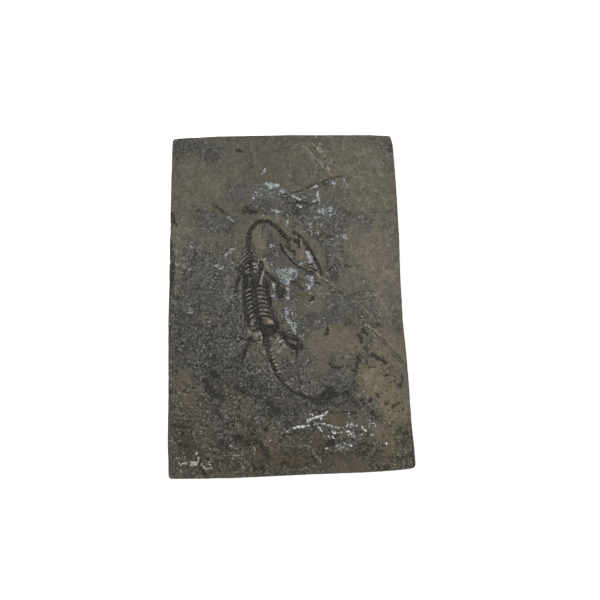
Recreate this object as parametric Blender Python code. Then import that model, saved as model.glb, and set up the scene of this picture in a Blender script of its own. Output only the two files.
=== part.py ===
"""A fossil marine reptile bedded in the face of its slab of dark rock, lying face up.

Units are metres. The slab's back lies on z = 0 and the origin is under its centre. +X is the slab's
right and +Y its top. Each bone, or chain of bones, lies in a shallow bed cut in the slab's face.
"""
import math
import random

import bmesh
import bpy
from mathutils import Vector, noise

MM = 0.001

# Driving dimensions
SLAB_WIDTH = 173.4 * MM
SLAB_LENGTH = 240.4 * MM
SLAB_THICKNESS = 15.0 * MM
GAP = 0.3 * MM  # kept between neighbouring pieces
BED_DEPTH = 1.2 * MM  # from the slab's face down to the floor under the bones
BED_MARGIN = 0.4 * MM  # from a bone's side to the foot of its bed's wall
BED_FLARE = 0.8 * MM  # the extra width of a bed at the slab's face
NECK_PITCH = 2.3 * MM  # from one neck vertebra to the next
BACK_PITCH = 2.95 * MM  # from one back vertebra, and its pair of ribs, to the next
TAIL_PITCH = 2.5 * MM

# The slab's sides: points in millimetres from one corner to the next, anticlockwise from bottom left
BOTTOM_SIDE = [(-86.2, -120.2), (-49.3, -119.9), (-17.1, -118.5), (11.6, -117.1), (50.1, -115.7),
               (71.8, -114.3)]
RIGHT_SIDE = [(86.9, -112.6), (86.0, -100.3), (84.4, -86.3), (83.0, -68.8), (81.3, -44.3), (80.2, -31.7),
              (78.8, -19.8), (77.8, -9.3), (76.0, 22.2), (75.3, 46.7), (73.2, 81.7), (70.8, 113.2)]
TOP_SIDE = [(69.2, 119.6), (55.0, 120.2), (-1.0, 120.2), (-50.0, 119.3), (-71.0, 118.2)]
LEFT_SIDE = [(-83.4, 117.5), (-84.3, 88.7), (-85.3, 46.7), (-85.7, 18.7), (-86.4, -9.3), (-86.4, -65.3),
             (-86.9, -93.3)]
CORNER_RADII = (2.6, 3.6, 2.2, 2.8)  # millimetres, in the order of the sides
CORNER_POINTS = 4
SIDE_GRAIN = 60.0  # how often the broken sides change, per metre
SIDE_WAVE = 22.0  # how often the bedding ledges rise and fall, per metre
OUTLINE_STEP = 11.0 * MM
# The slab's bedding shows as low broken ledges round its sides: height, how much the height wanders, how far
# the side stands back there, and how rough it is, in millimetres
LEDGES = [(0.0, 0.0, 0.9, 0.5), (1.0, 0.3, 0.3, 0.6), (4.9, 1.4, 0.1, 1.0), (5.5, 1.4, 0.5, 1.2),
          (9.4, 1.2, 0.5, 1.0), (10.0, 1.2, 0.1, 0.8), (14.0, 0.0, 0.0, 0.0), (15.0, 0.0, 0.8, 0.4)]

# Shallow broken places in the face: outline, deepest point, a point where it runs out, depth, in millimetres
SPALLS = {
    "upper_ledge": ([(-6.6, 78.2), (1.1, 79.8), (6.0, 81.2), (13.0, 84.0), (24.9, 89.3), (34.7, 91.5),
                     (33.2, 77.5), (19.0, 70.0), (1.0, 70.0)], (13.0, 84.5), (19.0, 69.5), 1.1),
    "lower_flake": ([(19.0, -73.0), (32.0, -73.8), (44.8, -74.6), (41.0, -85.5), (21.4, -85.5)],
                    (32.0, -73.0), (31.0, -86.5), 1.3),
    "jaw_facet": ([(-1.0, 17.0), (5.0, 14.5), (10.0, 15.5), (9.5, 24.8), (3.5, 25.0)], (5.0, 14.5),
                  (5.0, 26.0), 1.2),
    "jaw_step": ([(6.0, 5.5), (14.0, 4.5), (13.2, 12.0), (7.0, 12.5)], (10.0, 4.5), (10.0, 13.0), 1.1),
}
# Pits in the face and chips along the edges: centre, and half-sizes along x, y and z, in millimetres
PITS = [(27.0, -95.4, 15.2, 3.0, 2.2, 1.2), (-4.8, 17.7, 15.1, 1.3, 1.0, 0.9),
        (2.0, 73.0, 15.1, 4.6, 1.4, 0.9), (48.0, -36.5, 15.2, 3.2, 4.6, 0.8),
        (61.0, -76.5, 15.2, 2.2, 4.8, 0.8), (-64.0, -106.5, 15.2, 8.0, 3.6, 0.9)]
CHIPS = [(-87.6, 56.0, 14.4, 4.6, 11.0, 3.2), (-87.6, 34.0, 14.6, 4.2, 9.0, 3.6),
         (-88.4, 15.0, 14.6, 3.8, 7.0, 3.0), (82.6, -42.5, 15.0, 3.2, 3.0, 4.0),
         (-84.8, -106.0, 16.0, 3.4, 6.0, 2.4), (88.0, -78.0, 6.0, 4.6, 9.0, 3.4),
         (20.0, -120.2, 5.5, 14.0, 4.0, 3.6), (-30.0, 123.0, 7.0, 12.0, 4.2, 3.6),
         (-88.8, -40.0, 6.5, 3.8, 12.0, 4.0)]
CRACK = [(22.5, 18.5), (29.8, 12.0), (37.5, 6.5), (42.4, -1.5), (48.0, -8.5), (54.3, -12.8),
         (62.0, -19.8), (70.4, -28.2), (76.0, -34.6), (81.4, -41.6), (88.0, -48.0)]
CRACK_WIDTH = 1.3 * MM

# The bones: smooth routes along their middles, and their widths along them, in millimetres
NECK_ROUTE = [(-2.6, 45.2), (-5.5, 50.2), (-9.0, 54.1), (-12.9, 57.6), (-16.4, 59.7), (-19.9, 60.2),
              (-23.7, 58.8), (-26.9, 55.5), (-28.8, 50.9), (-29.7, 44.6), (-30.0, 38.3), (-29.1, 31.3),
              (-27.7, 23.6)]
NECK_WIDTHS = [2.5, 2.5, 2.1, 2.1, 2.5, 3.4, 3.9, 3.8]
NECK_RIBS = [((-29.6, 43.4), (-26.0, 39.0)), ((-29.6, 40.0), (-25.2, 35.5)),
             ((-29.2, 36.9), (-24.8, 32.7)), ((-28.6, 33.8), (-24.6, 30.4)),
             ((-30.4, 42.2), (-34.4, 38.3)), ((-30.4, 39.4), (-34.6, 35.2)),
             ((-30.2, 36.4), (-34.0, 32.7)), ((-28.2, 28.9), (-25.0, 27.8)),
             ((-27.8, 26.2), (-24.9, 25.9))]
BACK_ROUTE = [(-27.2, 21.8), (-26.2, 15.9), (-24.8, 4.7), (-24.1, -3.7), (-22.3, -10.2)]
BACK_WIDTHS = [3.6, 3.9, 3.9, 3.4]
FIRST_RIB_Y = 14.2  # millimetres
RIB_PAIRS = 8
RIB_WIDTH = 1.35
RIGHT_FLANK = [(-16.6, 13.6), (-14.6, 8.2), (-14.1, 2.6), (-11.5, -5.8), (-9.6, -10.6)]
LEFT_FLANK = [(-33.7, 15.2), (-33.5, 8.2), (-33.6, 1.2), (-31.9, -3.7), (-30.6, -10.6)]
HIP_ROUTE = [(-21.6, -12.9), (-19.6, -19.6), (-17.6, -26.6)]
HIP_WIDTHS = [3.2, 3.4, 3.0]
TAIL_ROUTE = [(-17.1, -28.6), (-15.7, -35.5), (-12.9, -42.2), (-8.7, -49.2), (-3.8, -55.5), (2.5, -60.4),
              (10.9, -63.5), (20.0, -64.6), (30.5, -63.2), (41.0, -58.3), (45.9, -55.8)]
TAIL_WIDTHS = [2.8, 2.5, 2.1, 1.8, 1.4, 1.2, 1.1, 1.0, 0.9]
TAIL_SPURS = 7

# Single bones: route and widths
SINGLE_BONES = {
    "left_shoulder_blade": ([(-36.9, 29.8), (-35.9, 27.0), (-34.6, 23.6)], [1.6, 3.2, 3.4, 1.8]),
    "right_shoulder_blade": ([(-21.8, 32.2), (-21.2, 28.6), (-20.9, 24.3), (-22.2, 19.4), (-22.9, 16.4)],
                             [1.4, 3.4, 3.2, 2.0, 2.4, 2.2, 1.2]),
    "left_chest_bone": ([(-32.0, 22.4), (-31.6, 19.6), (-31.2, 16.6)], [2.2, 4.6, 4.8, 3.0]),
    "right_chest_bone": ([(-18.7, 20.6), (-18.2, 18.0), (-17.6, 15.4)], [1.0, 1.9, 1.6, 0.9]),
    "left_upper_arm": ([(-36.0, 20.6), (-38.0, 15.9), (-40.2, 10.3)], [1.6, 2.2, 1.9, 1.8, 2.4, 1.6]),
    "right_upper_arm": ([(-18.0, 24.8), (-14.6, 21.4), (-10.9, 16.6)], [1.4, 2.1, 1.8, 1.8, 2.4, 1.8]),
    "right_forearm": ([(-11.0, 14.4), (-9.0, 10.8), (-6.8, 7.6)], [1.6, 4.4, 5.2, 4.6, 1.8]),
    "left_thigh": ([(-30.2, -24.0), (-31.8, -28.9), (-34.4, -36.2)], [1.3, 1.9, 1.5, 1.4, 1.8, 1.2]),
    "right_thigh": ([(-6.4, -18.3), (-1.0, -20.5), (5.5, -23.8)], [1.3, 2.0, 1.6, 1.6, 2.1, 1.4]),
}
SHIN_BONES = [((6.3, -25.6), (4.9, -31.9)), ((3.3, -27.2), (2.4, -32.4))]

# The skull: bars of bone round its openings, and a solid snout
SKULL_BARS = {
    "right_rim": ([(0.2, 51.9), (3.9, 50.7), (8.1, 46.7), (12.3, 40.8), (15.8, 34.1), (18.6, 27.8),
                  (21.6, 21.4)],
                  [1.5, 1.3, 1.2, 1.2, 1.4, 1.8, 1.0]),
    "left_rim": ([(-8.3, 42.9), (-5.9, 38.3), (-2.0, 33.4), (2.5, 29.6), (7.4, 26.6), (13.0, 24.6)],
                 [1.2, 1.5, 1.3, 1.3, 1.6, 2.0]),
    "cheek_bar": ([(2.6, 50.9), (4.0, 46.6), (5.4, 41.4), (3.2, 38.6)], [1.6, 1.8, 1.8, 1.2]),
    "braincase": ([(-7.6, 41.6), (-4.0, 42.0), (-0.9, 39.4), (2.4, 38.8), (4.4, 38.4)],
                  [0.9, 2.0, 2.8, 2.4, 1.0]),
    "snout": ([(8.6, 28.6), (13.0, 26.2), (17.6, 23.8), (21.4, 21.0)], [2.0, 5.4, 4.6, 2.8, 1.2]),
}

# Outlines of the wider beds in the slab's face, anticlockwise, in millimetres
TRUNK_BED = [(-35.6, 15.0), (-35.3, 8.0), (-35.4, 1.0), (-34.0, -4.6), (-32.7, -10.5), (-32.2, -17.0),
             (-32.2, -26.4), (-24.0, -28.0), (-15.4, -28.0), (-14.6, -23.4), (-7.6, -22.6),
             (-6.4, -17.0), (-7.0, -12.0), (-9.0, -5.0), (-11.6, 2.6), (-12.4, 8.5), (-14.6, 14.4),
             (-16.2, 21.0), (-24.0, 24.0), (-34.2, 24.4)]
SKULL_BED = [(-10.0, 43.4), (-7.4, 37.2), (-3.2, 31.8), (1.8, 27.6), (7.4, 24.2), (13.0, 21.9),
             (18.8, 19.8), (22.6, 19.6), (23.0, 22.8), (20.2, 29.2), (17.0, 36.2), (13.2, 42.8),
             (9.2, 48.2), (4.6, 52.4), (-0.6, 53.4), (-1.6, 46.0), (-7.4, 44.4)]

BONE_HALF_HEIGHT = 0.75 * MM
THIN_HALF_HEIGHT = 0.6 * MM
ROUND_SIDES = 2  # the bevel resolution that gives a tube eight sides; 1 gives six and 0 gives four
ROCK_COLOUR = (0.103, 0.096, 0.080, 1.0)
BONE_COLOUR = (0.047, 0.047, 0.043, 1.0)


def clear_scene():
    """Remove the objects that the file starts with."""
    for old in list(bpy.data.objects):
        bpy.data.objects.remove(old, do_unlink=True)


def new_collection(name):
    """Return a new collection in the scene."""
    made = bpy.data.collections.new(name)
    bpy.context.scene.collection.children.link(made)
    return made


def material(name, colour, roughness):
    """Return a plain Principled material."""
    made = bpy.data.materials.new(name)
    made.use_nodes = True
    shader = made.node_tree.nodes["Principled BSDF"]
    shader.inputs["Base Color"].default_value = colour
    shader.inputs["Roughness"].default_value = roughness
    shader.inputs["Metallic"].default_value = 0.0
    return made


def smooth_path(points, count):
    """Return count evenly spaced places on a smooth line through points given in millimetres."""
    knots = [Vector((x, y, 0.0)) * MM for x, y in points]
    knots = [knots[0] * 2 - knots[1]] + knots + [knots[-1] * 2 - knots[-2]]
    dense = [knots[1]]
    for a, b, c, d in zip(knots, knots[1:], knots[2:], knots[3:]):
        for step in range(1, 13):
            t = step / 12
            dense.append(((b * 2) + (c - a) * t + (a * 2 - b * 5 + c * 4 - d) * t * t
                          + (b * 3 - a - c * 3 + d) * t ** 3) / 2)
    lengths = [0.0]
    for a, b in zip(dense, dense[1:]):
        lengths.append(lengths[-1] + (b - a).length)
    places = []
    index = 0
    for k in range(count):
        wanted = lengths[-1] * k / (count - 1)
        while index < len(dense) - 2 and lengths[index + 1] < wanted:
            index += 1
        share = (wanted - lengths[index]) / (lengths[index + 1] - lengths[index])
        places.append(dense[index].lerp(dense[index + 1], share))
    return places


def path_length(points):
    """Return the length of the smooth line through points given in millimetres."""
    places = smooth_path(points, 60)
    return sum((b - a).length for a, b in zip(places, places[1:]))


def along(values, share):
    """Read a list of evenly spaced values at a share, from 0 to 1, of its length."""
    place = max(0.0, min(1.0, share)) * (len(values) - 1)
    low = min(int(place), len(values) - 2)
    return values[low] + (values[low + 1] - values[low]) * (place - low)


def x_on_line(points, y):
    """Return the x of a side line, a list of points from top to bottom in millimetres, at y."""
    for (x0, y0), (x1, y1) in zip(points, points[1:]):
        if y >= y1:
            break
    return x0 + (x1 - x0) * (y0 - y) / (y0 - y1)


def solid_from(source, name, collection):
    """Make the evaluated source a welded mesh object in the collection, and remove the source."""
    bpy.context.view_layer.update()
    evaluated = source.evaluated_get(bpy.context.evaluated_depsgraph_get())
    mesh = bpy.data.meshes.new_from_object(evaluated)
    shape = bmesh.new()
    shape.from_mesh(mesh)
    bmesh.ops.remove_doubles(shape, verts=shape.verts, dist=0.001 * MM)
    bmesh.ops.recalc_face_normals(shape, faces=shape.faces)
    shape.to_mesh(mesh)
    shape.free()
    placed = source.matrix_world.copy()
    bpy.data.objects.remove(source, do_unlink=True)
    made = bpy.data.objects.new(name, mesh)
    made.matrix_world = placed
    collection.objects.link(made)
    return made


def tube(name, places, radii, half_height, collection, sides=ROUND_SIDES):
    """Return a bone: a tube along the places, pressed to a half-height and seated in its bed."""
    curve = bpy.data.curves.new(name, "CURVE")
    curve.dimensions = "3D"
    curve.twist_mode = "Z_UP"
    curve.bevel_depth = MM
    curve.bevel_resolution = sides
    curve.use_fill_caps = True
    spline = curve.splines.new("POLY")
    spline.points.add(len(places) - 1)
    for point, place, radius in zip(spline.points, places, radii):
        point.co = (place.x, place.y, 0.0, 1.0)
        point.radius = radius / MM
    holder = bpy.data.objects.new(name, curve)
    collection.objects.link(holder)
    made = solid_from(holder, name, collection)
    press = half_height / max(radii)
    middle = SLAB_THICKNESS - BED_DEPTH + GAP + half_height
    for vertex in made.data.vertices:
        vertex.co.z = vertex.co.z * press + middle
    return made


def long_bone(name, route, widths, half_height, collection, rings=7, sides=ROUND_SIDES):
    """Return one bone along a smooth route, with its width in millimetres read along it."""
    places = smooth_path(route, rings)
    radii = [along(widths, k / (rings - 1)) * MM / 2 for k in range(rings)]
    return tube(name, places, radii, half_height, collection, sides)


def vertebrae(name, route, widths, pitch, half_height, collection, sides=ROUND_SIDES):
    """Return a chain of vertebrae: a bead a pitch, each as wide as the route says at its place."""
    beads = round(path_length(route) / pitch)
    places = smooth_path(route, 2 * beads + 1)
    radii = []
    for k in range(2 * beads + 1):
        width = along(widths, k / (2 * beads)) * MM
        radii.append(width / 2 if k % 2 else width * 0.36)
    return tube(name, places, radii, half_height, collection, sides)


def fuse(name, pieces, collection):
    """Join overlapping pieces into one closed body, and return it."""
    base = pieces[0]
    others = bpy.data.collections.new(name + "_pieces")
    for piece in pieces[1:]:
        others.objects.link(piece)
    joint = base.modifiers.new("join", "BOOLEAN")
    joint.operation = "UNION"
    joint.operand_type = "COLLECTION"
    joint.collection = others
    joint.solver = "EXACT"
    made = solid_from(base, name, collection)
    for piece in pieces[1:]:
        bpy.data.objects.remove(piece, do_unlink=True)
    bpy.data.collections.remove(others)
    return made


def loft(name, rings, collection):
    """Return a closed solid through rings of as many points each, from the lowest ring up."""
    shape = bmesh.new()
    loops = [[shape.verts.new(place) for place in ring] for ring in rings]
    for low, high in zip(loops, loops[1:]):
        for k in range(len(low)):
            after = (k + 1) % len(low)
            shape.faces.new((low[k], low[after], high[after], high[k]))
    shape.faces.new(reversed(loops[0]))
    shape.faces.new(loops[-1])
    bmesh.ops.recalc_face_normals(shape, faces=shape.faces)
    mesh = bpy.data.meshes.new(name)
    shape.to_mesh(mesh)
    shape.free()
    made = bpy.data.objects.new(name, mesh)
    collection.objects.link(made)
    return made


def outward(ring):
    """Return the outward direction at each point of a flat anticlockwise ring."""
    found = []
    for k, place in enumerate(ring):
        run = ring[(k + 1) % len(ring)] - ring[k - 1]
        found.append(Vector((run.y, -run.x, 0.0)).normalized())
    return found


def hollow(name, ring, collection, flare=BED_FLARE, depth=BED_DEPTH):
    """Return a bed's cutter: the ring at the bed's floor, wider where it leaves the slab's face."""
    top = SLAB_THICKNESS + 1.0 * MM
    slope = flare * (depth + 1.0 * MM) / depth
    low = [Vector((place.x, place.y, SLAB_THICKNESS - depth)) for place in ring]
    high = [Vector((place.x, place.y, top)) + side * slope for place, side in zip(ring, outward(ring))]
    return loft(name, [low, high], collection)


def band_ring(route, widths, count):
    """Return the anticlockwise ring round a bone's route, a bed's margin outside its widths."""
    places = smooth_path(route, count)
    right = []
    left = []
    for k, place in enumerate(places):
        run = (places[min(k + 1, count - 1)] - places[max(k - 1, 0)]).normalized()
        side = Vector((run.y, -run.x, 0.0)) * (along(widths, k / (count - 1)) * MM / 2 + BED_MARGIN)
        end = run * 2 * BED_MARGIN * (-1 if k == 0 else 1 if k == count - 1 else 0)
        right.append(place + side + end)
        left.append(place - side + end)
    return right + left[::-1]


def bed_cutters(collection):
    """Make the cutters of all the beds that hold the bones."""
    for name, outline in (("trunk_bed", TRUNK_BED), ("skull_bed", SKULL_BED)):
        hollow(name, [Vector((x, y, 0.0)) * MM for x, y in outline], collection)
    neck_room = [3.0, 3.0, 2.6, 2.6, 3.2, 9.0, 11.0, 9.0]
    hollow("neck_bed", band_ring(NECK_ROUTE, neck_room, 17), collection)
    tail_room = [8.0, 8.0] + [width + 0.4 for width in TAIL_WIDTHS[2:]]
    hollow("tail_bed", band_ring(TAIL_ROUTE, tail_room, 17), collection, flare=0.5 * MM)
    for name, (route, widths) in SINGLE_BONES.items():
        room = [max(widths) * share for share in (0.7, 1.1, 1.1, 0.7)]
        hollow(name + "_bed", band_ring(route, room, 5), collection, flare=0.5 * MM)
    hollow("shin_bed", band_ring([(5.4, -25.0), (4.0, -29.0), (3.4, -33.0)], [4.4, 6.4, 4.6], 5),
           collection)


def spall_cutters(collection):
    """Make the cutters of the broken places, whose floors are tilted planes."""
    for name, (outline, deep, shallow, depth) in SPALLS.items():
        start = Vector((*deep, 0.0)) * MM
        run = Vector((*shallow, 0.0)) * MM - start
        low = []
        for x, y in outline:
            place = Vector((x, y, 0.0)) * MM
            share = (place - start).dot(run) / run.length_squared
            low.append(Vector((place.x, place.y, SLAB_THICKNESS - depth * MM * (1.0 - share))))
        high = [Vector((place.x, place.y, SLAB_THICKNESS + 2.0 * MM)) for place in low]
        ring = sum((a.x * b.y - b.x * a.y for a, b in zip(low, low[1:] + low[:1])), 0.0)
        if ring < 0:
            low.reverse()
            high.reverse()
        loft(name, [low, high], collection)


def dish_cutters(collection):
    """Make the cutters of the pits and the chips: uneven flattened balls."""
    for index, (x, y, z, half_x, half_y, half_z) in enumerate(PITS + CHIPS):
        shape = bmesh.new()
        bmesh.ops.create_icosphere(shape, subdivisions=2, radius=1.0)
        for vertex in shape.verts:
            uneven = 1.0 + 0.22 * noise.noise(vertex.co * 1.7 + Vector((index * 3.1, 0.0, 0.0)))
            size = Vector((half_x, half_y, half_z)) * uneven
            vertex.co = (Vector((x, y, z)) + vertex.co * size) * MM
        mesh = bpy.data.meshes.new("dish_%02d" % index)
        shape.to_mesh(mesh)
        shape.free()
        collection.objects.link(bpy.data.objects.new("dish_%02d" % index, mesh))


def crack_cutter(collection):
    """Make the cutter of the long crack: a four-sided rod that leaves a groove like a V."""
    places = smooth_path(CRACK, 16)
    uneven = random.Random(5)
    radii = [CRACK_WIDTH / 2 * uneven.uniform(0.75, 1.15) for _ in places]
    rod = tube("long_crack", places, radii, CRACK_WIDTH / 2, collection, sides=0)
    lift = BED_DEPTH - GAP - CRACK_WIDTH / 2  # from a bone's level to the slab's face
    for vertex in rod.data.vertices:
        vertex.co.z += lift


def rounded_outline():
    """Return the slab's outline as evenly spaced places, with its corners rounded."""
    sides = (BOTTOM_SIDE, RIGHT_SIDE, TOP_SIDE, LEFT_SIDE)
    line = []
    for index, side in enumerate(sides):
        corner = Vector((*side[0], 0.0))
        before = Vector((*sides[index - 1][-1], 0.0))
        after = Vector((*side[1], 0.0))
        radius = CORNER_RADII[index]
        start = corner + (before - corner).normalized() * radius
        end = corner + (after - corner).normalized() * radius
        for step in range(CORNER_POINTS):
            t = step / (CORNER_POINTS - 1)
            line.append(start * (1 - t) ** 2 + corner * 2 * t * (1 - t) + end * t * t)
        line.extend(Vector((x, y, 0.0)) for x, y in side[1:])
    spaced = []
    for a, b in zip(line, line[1:] + line[:1]):
        parts = max(1, round((b - a).length * MM / OUTLINE_STEP))
        spaced.extend(a.lerp(b, k / parts) for k in range(parts))
    return fitted([place * MM for place in spaced])


def fitted(ring):
    """Stretch the ring slightly so that it just fills the slab's width and length."""
    low_x = min(place.x for place in ring)
    high_x = max(place.x for place in ring)
    low_y = min(place.y for place in ring)
    high_y = max(place.y for place in ring)
    return [Vector(((place.x - (low_x + high_x) / 2) * SLAB_WIDTH / (high_x - low_x),
                    (place.y - (low_y + high_y) / 2) * SLAB_LENGTH / (high_y - low_y),
                    0.0)) for place in ring]


def rock_body(collection):
    """Return the whole slab before anything is cut from it: its outline at each bedding ledge."""
    outline = rounded_outline()
    sides = outward(outline)
    rings = []
    for level, (height, wander, inset, rough) in enumerate(LEDGES):
        ring = []
        for place, side in zip(outline, sides):
            grain = noise.noise(place * SIDE_GRAIN + Vector((0.0, 0.0, level * 7.3)))
            wave = noise.noise(place * SIDE_WAVE + Vector((0.0, 0.0, (level // 2) * 5.1)))
            back = (inset + rough * (0.5 + 0.9 * grain)) * MM if rough else 0.0
            ring.append(place - side * back + Vector((0.0, 0.0, (height + wander * wave) * MM)))
        rings.append(ring)
    return loft("slab", rings, collection)


def make_slab(collection, cutters, look):
    """Build the slab with its beds, broken places, pits, chips and long crack."""
    body = rock_body(collection)
    bed_cutters(cutters)
    spall_cutters(cutters)
    dish_cutters(cutters)
    crack_cutter(cutters)
    for cutter in cutters.objects:
        cutter.hide_render = True
        cutter.display_type = "WIRE"
    cut = body.modifiers.new("beds_and_breaks", "BOOLEAN")
    cut.operation = "DIFFERENCE"
    cut.operand_type = "COLLECTION"
    cut.collection = cutters
    cut.solver = "EXACT"
    body.data.materials.append(look)
    return body


def make_skull(collection):
    """Build the skull: its two long rims, the bars between its openings and the snout."""
    pieces = []
    for index, (name, (route, widths)) in enumerate(SKULL_BARS.items()):
        height = BONE_HALF_HEIGHT * (1.0 + 0.05 * index)
        pieces.append(long_bone(name, route, widths, height, collection, rings=2 * len(route), sides=1))
    return fuse("skull", pieces, collection)


def make_neck(collection):
    """Build the neck: its vertebrae, with the short ribs on its lower part."""
    height = BONE_HALF_HEIGHT * 1.1
    pieces = [vertebrae("neck_chain", NECK_ROUTE, NECK_WIDTHS, NECK_PITCH, height, collection, sides=1)]
    for index, route in enumerate(NECK_RIBS):
        height = THIN_HALF_HEIGHT * (0.9 + 0.02 * index)
        pieces.append(long_bone("neck_rib_%d" % index, route, [1.0, 0.9, 0.7],
                      height, collection, rings=3, sides=1))
    return fuse("neck", pieces, collection)


def rib_route(side, y):
    """Return the route of a rib: out of the backbone at y, and down along the flank."""
    flank = RIGHT_FLANK if side > 0 else LEFT_FLANK
    backbone = x_on_line(BACK_ROUTE, y)
    edge = x_on_line(flank, y - 3.2)
    low_y = max(y - 7.0, flank[-1][1] + 0.1)
    return [(backbone + side * 0.8, y), (backbone + (edge - backbone) * 0.45, y + 0.4),
            (edge - side * 1.5, y - 1.4), (edge, y - 3.6), (x_on_line(flank, low_y), low_y)]


def make_rib_cage(collection):
    """Build the backbone of the trunk with its pairs of ribs, whose ends lie along the flanks."""
    height = BONE_HALF_HEIGHT * 1.15
    pieces = [vertebrae("back_chain", BACK_ROUTE, BACK_WIDTHS, BACK_PITCH, height, collection)]
    for pair in range(RIB_PAIRS):
        y = FIRST_RIB_Y - pair * BACK_PITCH / MM
        for side in (-1, 1):
            height = THIN_HALF_HEIGHT * (0.9 + 0.03 * pair + 0.01 * side)
            widths = [RIB_WIDTH, RIB_WIDTH, RIB_WIDTH * 1.1, RIB_WIDTH * 0.8]
            name = "rib_%d_%d" % (pair, side)
            pieces.append(long_bone(name, rib_route(side, y),
            widths, height, collection, rings=5, sides=1))
    return fuse("rib_cage", pieces, collection)


def make_pelvis(collection):
    """Build the hip vertebrae with the hip bones on both sides of them."""
    height = BONE_HALF_HEIGHT * 1.15
    pieces = [vertebrae("hip_chain", HIP_ROUTE, HIP_WIDTHS, BACK_PITCH, height, collection, sides=1)]
    hip_bones = {
        "right_hip": ([(-20.6, -14.4), (-15.2, -14.6), (-9.4, -14.0)], [3.0, 4.8, 4.4, 2.0]),
        "right_hip_blade": ([(-18.4, -17.0), (-14.4, -18.4), (-9.6, -17.4)], [2.4, 4.2, 3.2, 1.4]),
        "left_hip": ([(-20.8, -14.6), (-24.4, -13.4), (-28.2, -13.8)], [3.0, 3.4, 1.6]),
        "left_spur_a": ([(-18.6, -21.6), (-23.6, -22.6), (-28.4, -22.4)], [1.2, 1.2, 1.0]),
        "left_spur_b": ([(-18.2, -24.0), (-23.0, -25.0), (-27.6, -25.4)], [1.2, 1.2, 0.9]),
        "right_spur": ([(-18.6, -20.6), (-15.6, -21.2), (-13.0, -20.4)], [1.4, 1.6, 1.0]),
    }
    for index, (name, (route, widths)) in enumerate(hip_bones.items()):
        height = THIN_HALF_HEIGHT * (1.0 + 0.06 * index)
        pieces.append(long_bone(name, route, widths, height, collection, rings=5, sides=1))
    return fuse("pelvis", pieces, collection)


def make_tail(collection):
    """Build the tail's vertebrae, with a short spur on the outer side of the first few."""
    height = THIN_HALF_HEIGHT * 1.2
    pieces = [vertebrae("tail_chain", TAIL_ROUTE, TAIL_WIDTHS, TAIL_PITCH, height, collection, sides=1)]
    beads = round(path_length(TAIL_ROUTE) / TAIL_PITCH)
    places = smooth_path(TAIL_ROUTE, 2 * beads + 1)
    for spur in range(TAIL_SPURS):
        k = 2 * spur + 3
        run = (places[k + 1] - places[k - 1]).normalized()
        reach = Vector((-run.y, run.x, 0.0)) * (3.0 - 0.2 * spur) * MM
        ends = [places[k], places[k] + reach + run * 0.7 * MM]
        widths = [0.5 * MM, 0.32 * MM]
        height = THIN_HALF_HEIGHT * (0.85 + 0.02 * spur)
        pieces.append(tube("tail_spur_%d" % spur, ends, widths, height, collection, sides=1))
    return fuse("tail", pieces, collection)


def make_right_shin(collection):
    """Build the two bones of the lower leg, which touch at the knee."""
    pieces = []
    for index, (top, bottom) in enumerate(SHIN_BONES):
        height = THIN_HALF_HEIGHT * (1.0 + 0.08 * index)
        pieces.append(long_bone("shin_%d" % index, [top, bottom], [1.3, 1.0, 1.0, 1.4],
                      height, collection, rings=4))
    knee = long_bone("knee", [(6.4, -26.6), (3.0, -27.9)], [1.0, 1.2, 1.0],
                     THIN_HALF_HEIGHT * 0.9, collection, rings=3)
    return fuse("right_shin", pieces + [knee], collection)


def make_single_bones(collection):
    """Build the shoulder, chest, arm and thigh bones."""
    made = []
    for name, (route, widths) in SINGLE_BONES.items():
        made.append(long_bone(name, route, widths, BONE_HALF_HEIGHT, collection, rings=6))
    return made


def main():
    """Build the whole fossil."""
    clear_scene()
    fossil = new_collection("fossil_marine_reptile_slab")
    cutters = new_collection("cutters")
    bones = [make_skull(fossil), make_neck(fossil), make_rib_cage(fossil), make_pelvis(fossil),
             make_tail(fossil),
             make_right_shin(fossil)] + make_single_bones(fossil)
    for bone in bones:
        bone.data.materials.clear()
        bone.data.materials.append(material(bone.name + "_bone", BONE_COLOUR, 0.5))
    make_slab(fossil, cutters, material("dark_rock", ROCK_COLOUR, 0.72))


main()
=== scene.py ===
"""The looks of a fossil marine reptile slab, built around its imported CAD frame.

Sizes are millimetres, seen from above: x to the right and y up the slab, from the middle of
the slab's box, and z up from its flat back. A mesh is turned into metres only when it is made.
Nothing is drawn at random: all noise comes from fixed hashes and from Blender's noise nodes.
"""
import math

import bpy
import numpy as np
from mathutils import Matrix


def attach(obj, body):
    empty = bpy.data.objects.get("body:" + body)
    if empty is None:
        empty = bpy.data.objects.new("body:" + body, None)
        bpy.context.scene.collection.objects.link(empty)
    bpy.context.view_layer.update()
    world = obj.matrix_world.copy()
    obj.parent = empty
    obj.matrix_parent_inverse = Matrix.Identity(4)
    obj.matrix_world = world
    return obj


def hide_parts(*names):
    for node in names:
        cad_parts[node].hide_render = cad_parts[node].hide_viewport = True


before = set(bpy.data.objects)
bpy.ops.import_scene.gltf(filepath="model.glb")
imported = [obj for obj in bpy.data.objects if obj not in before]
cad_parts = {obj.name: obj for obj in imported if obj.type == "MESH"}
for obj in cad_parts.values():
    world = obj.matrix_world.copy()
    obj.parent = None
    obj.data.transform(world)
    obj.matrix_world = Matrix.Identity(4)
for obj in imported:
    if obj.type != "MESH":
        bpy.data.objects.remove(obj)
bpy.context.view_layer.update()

MM = 0.001

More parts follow.
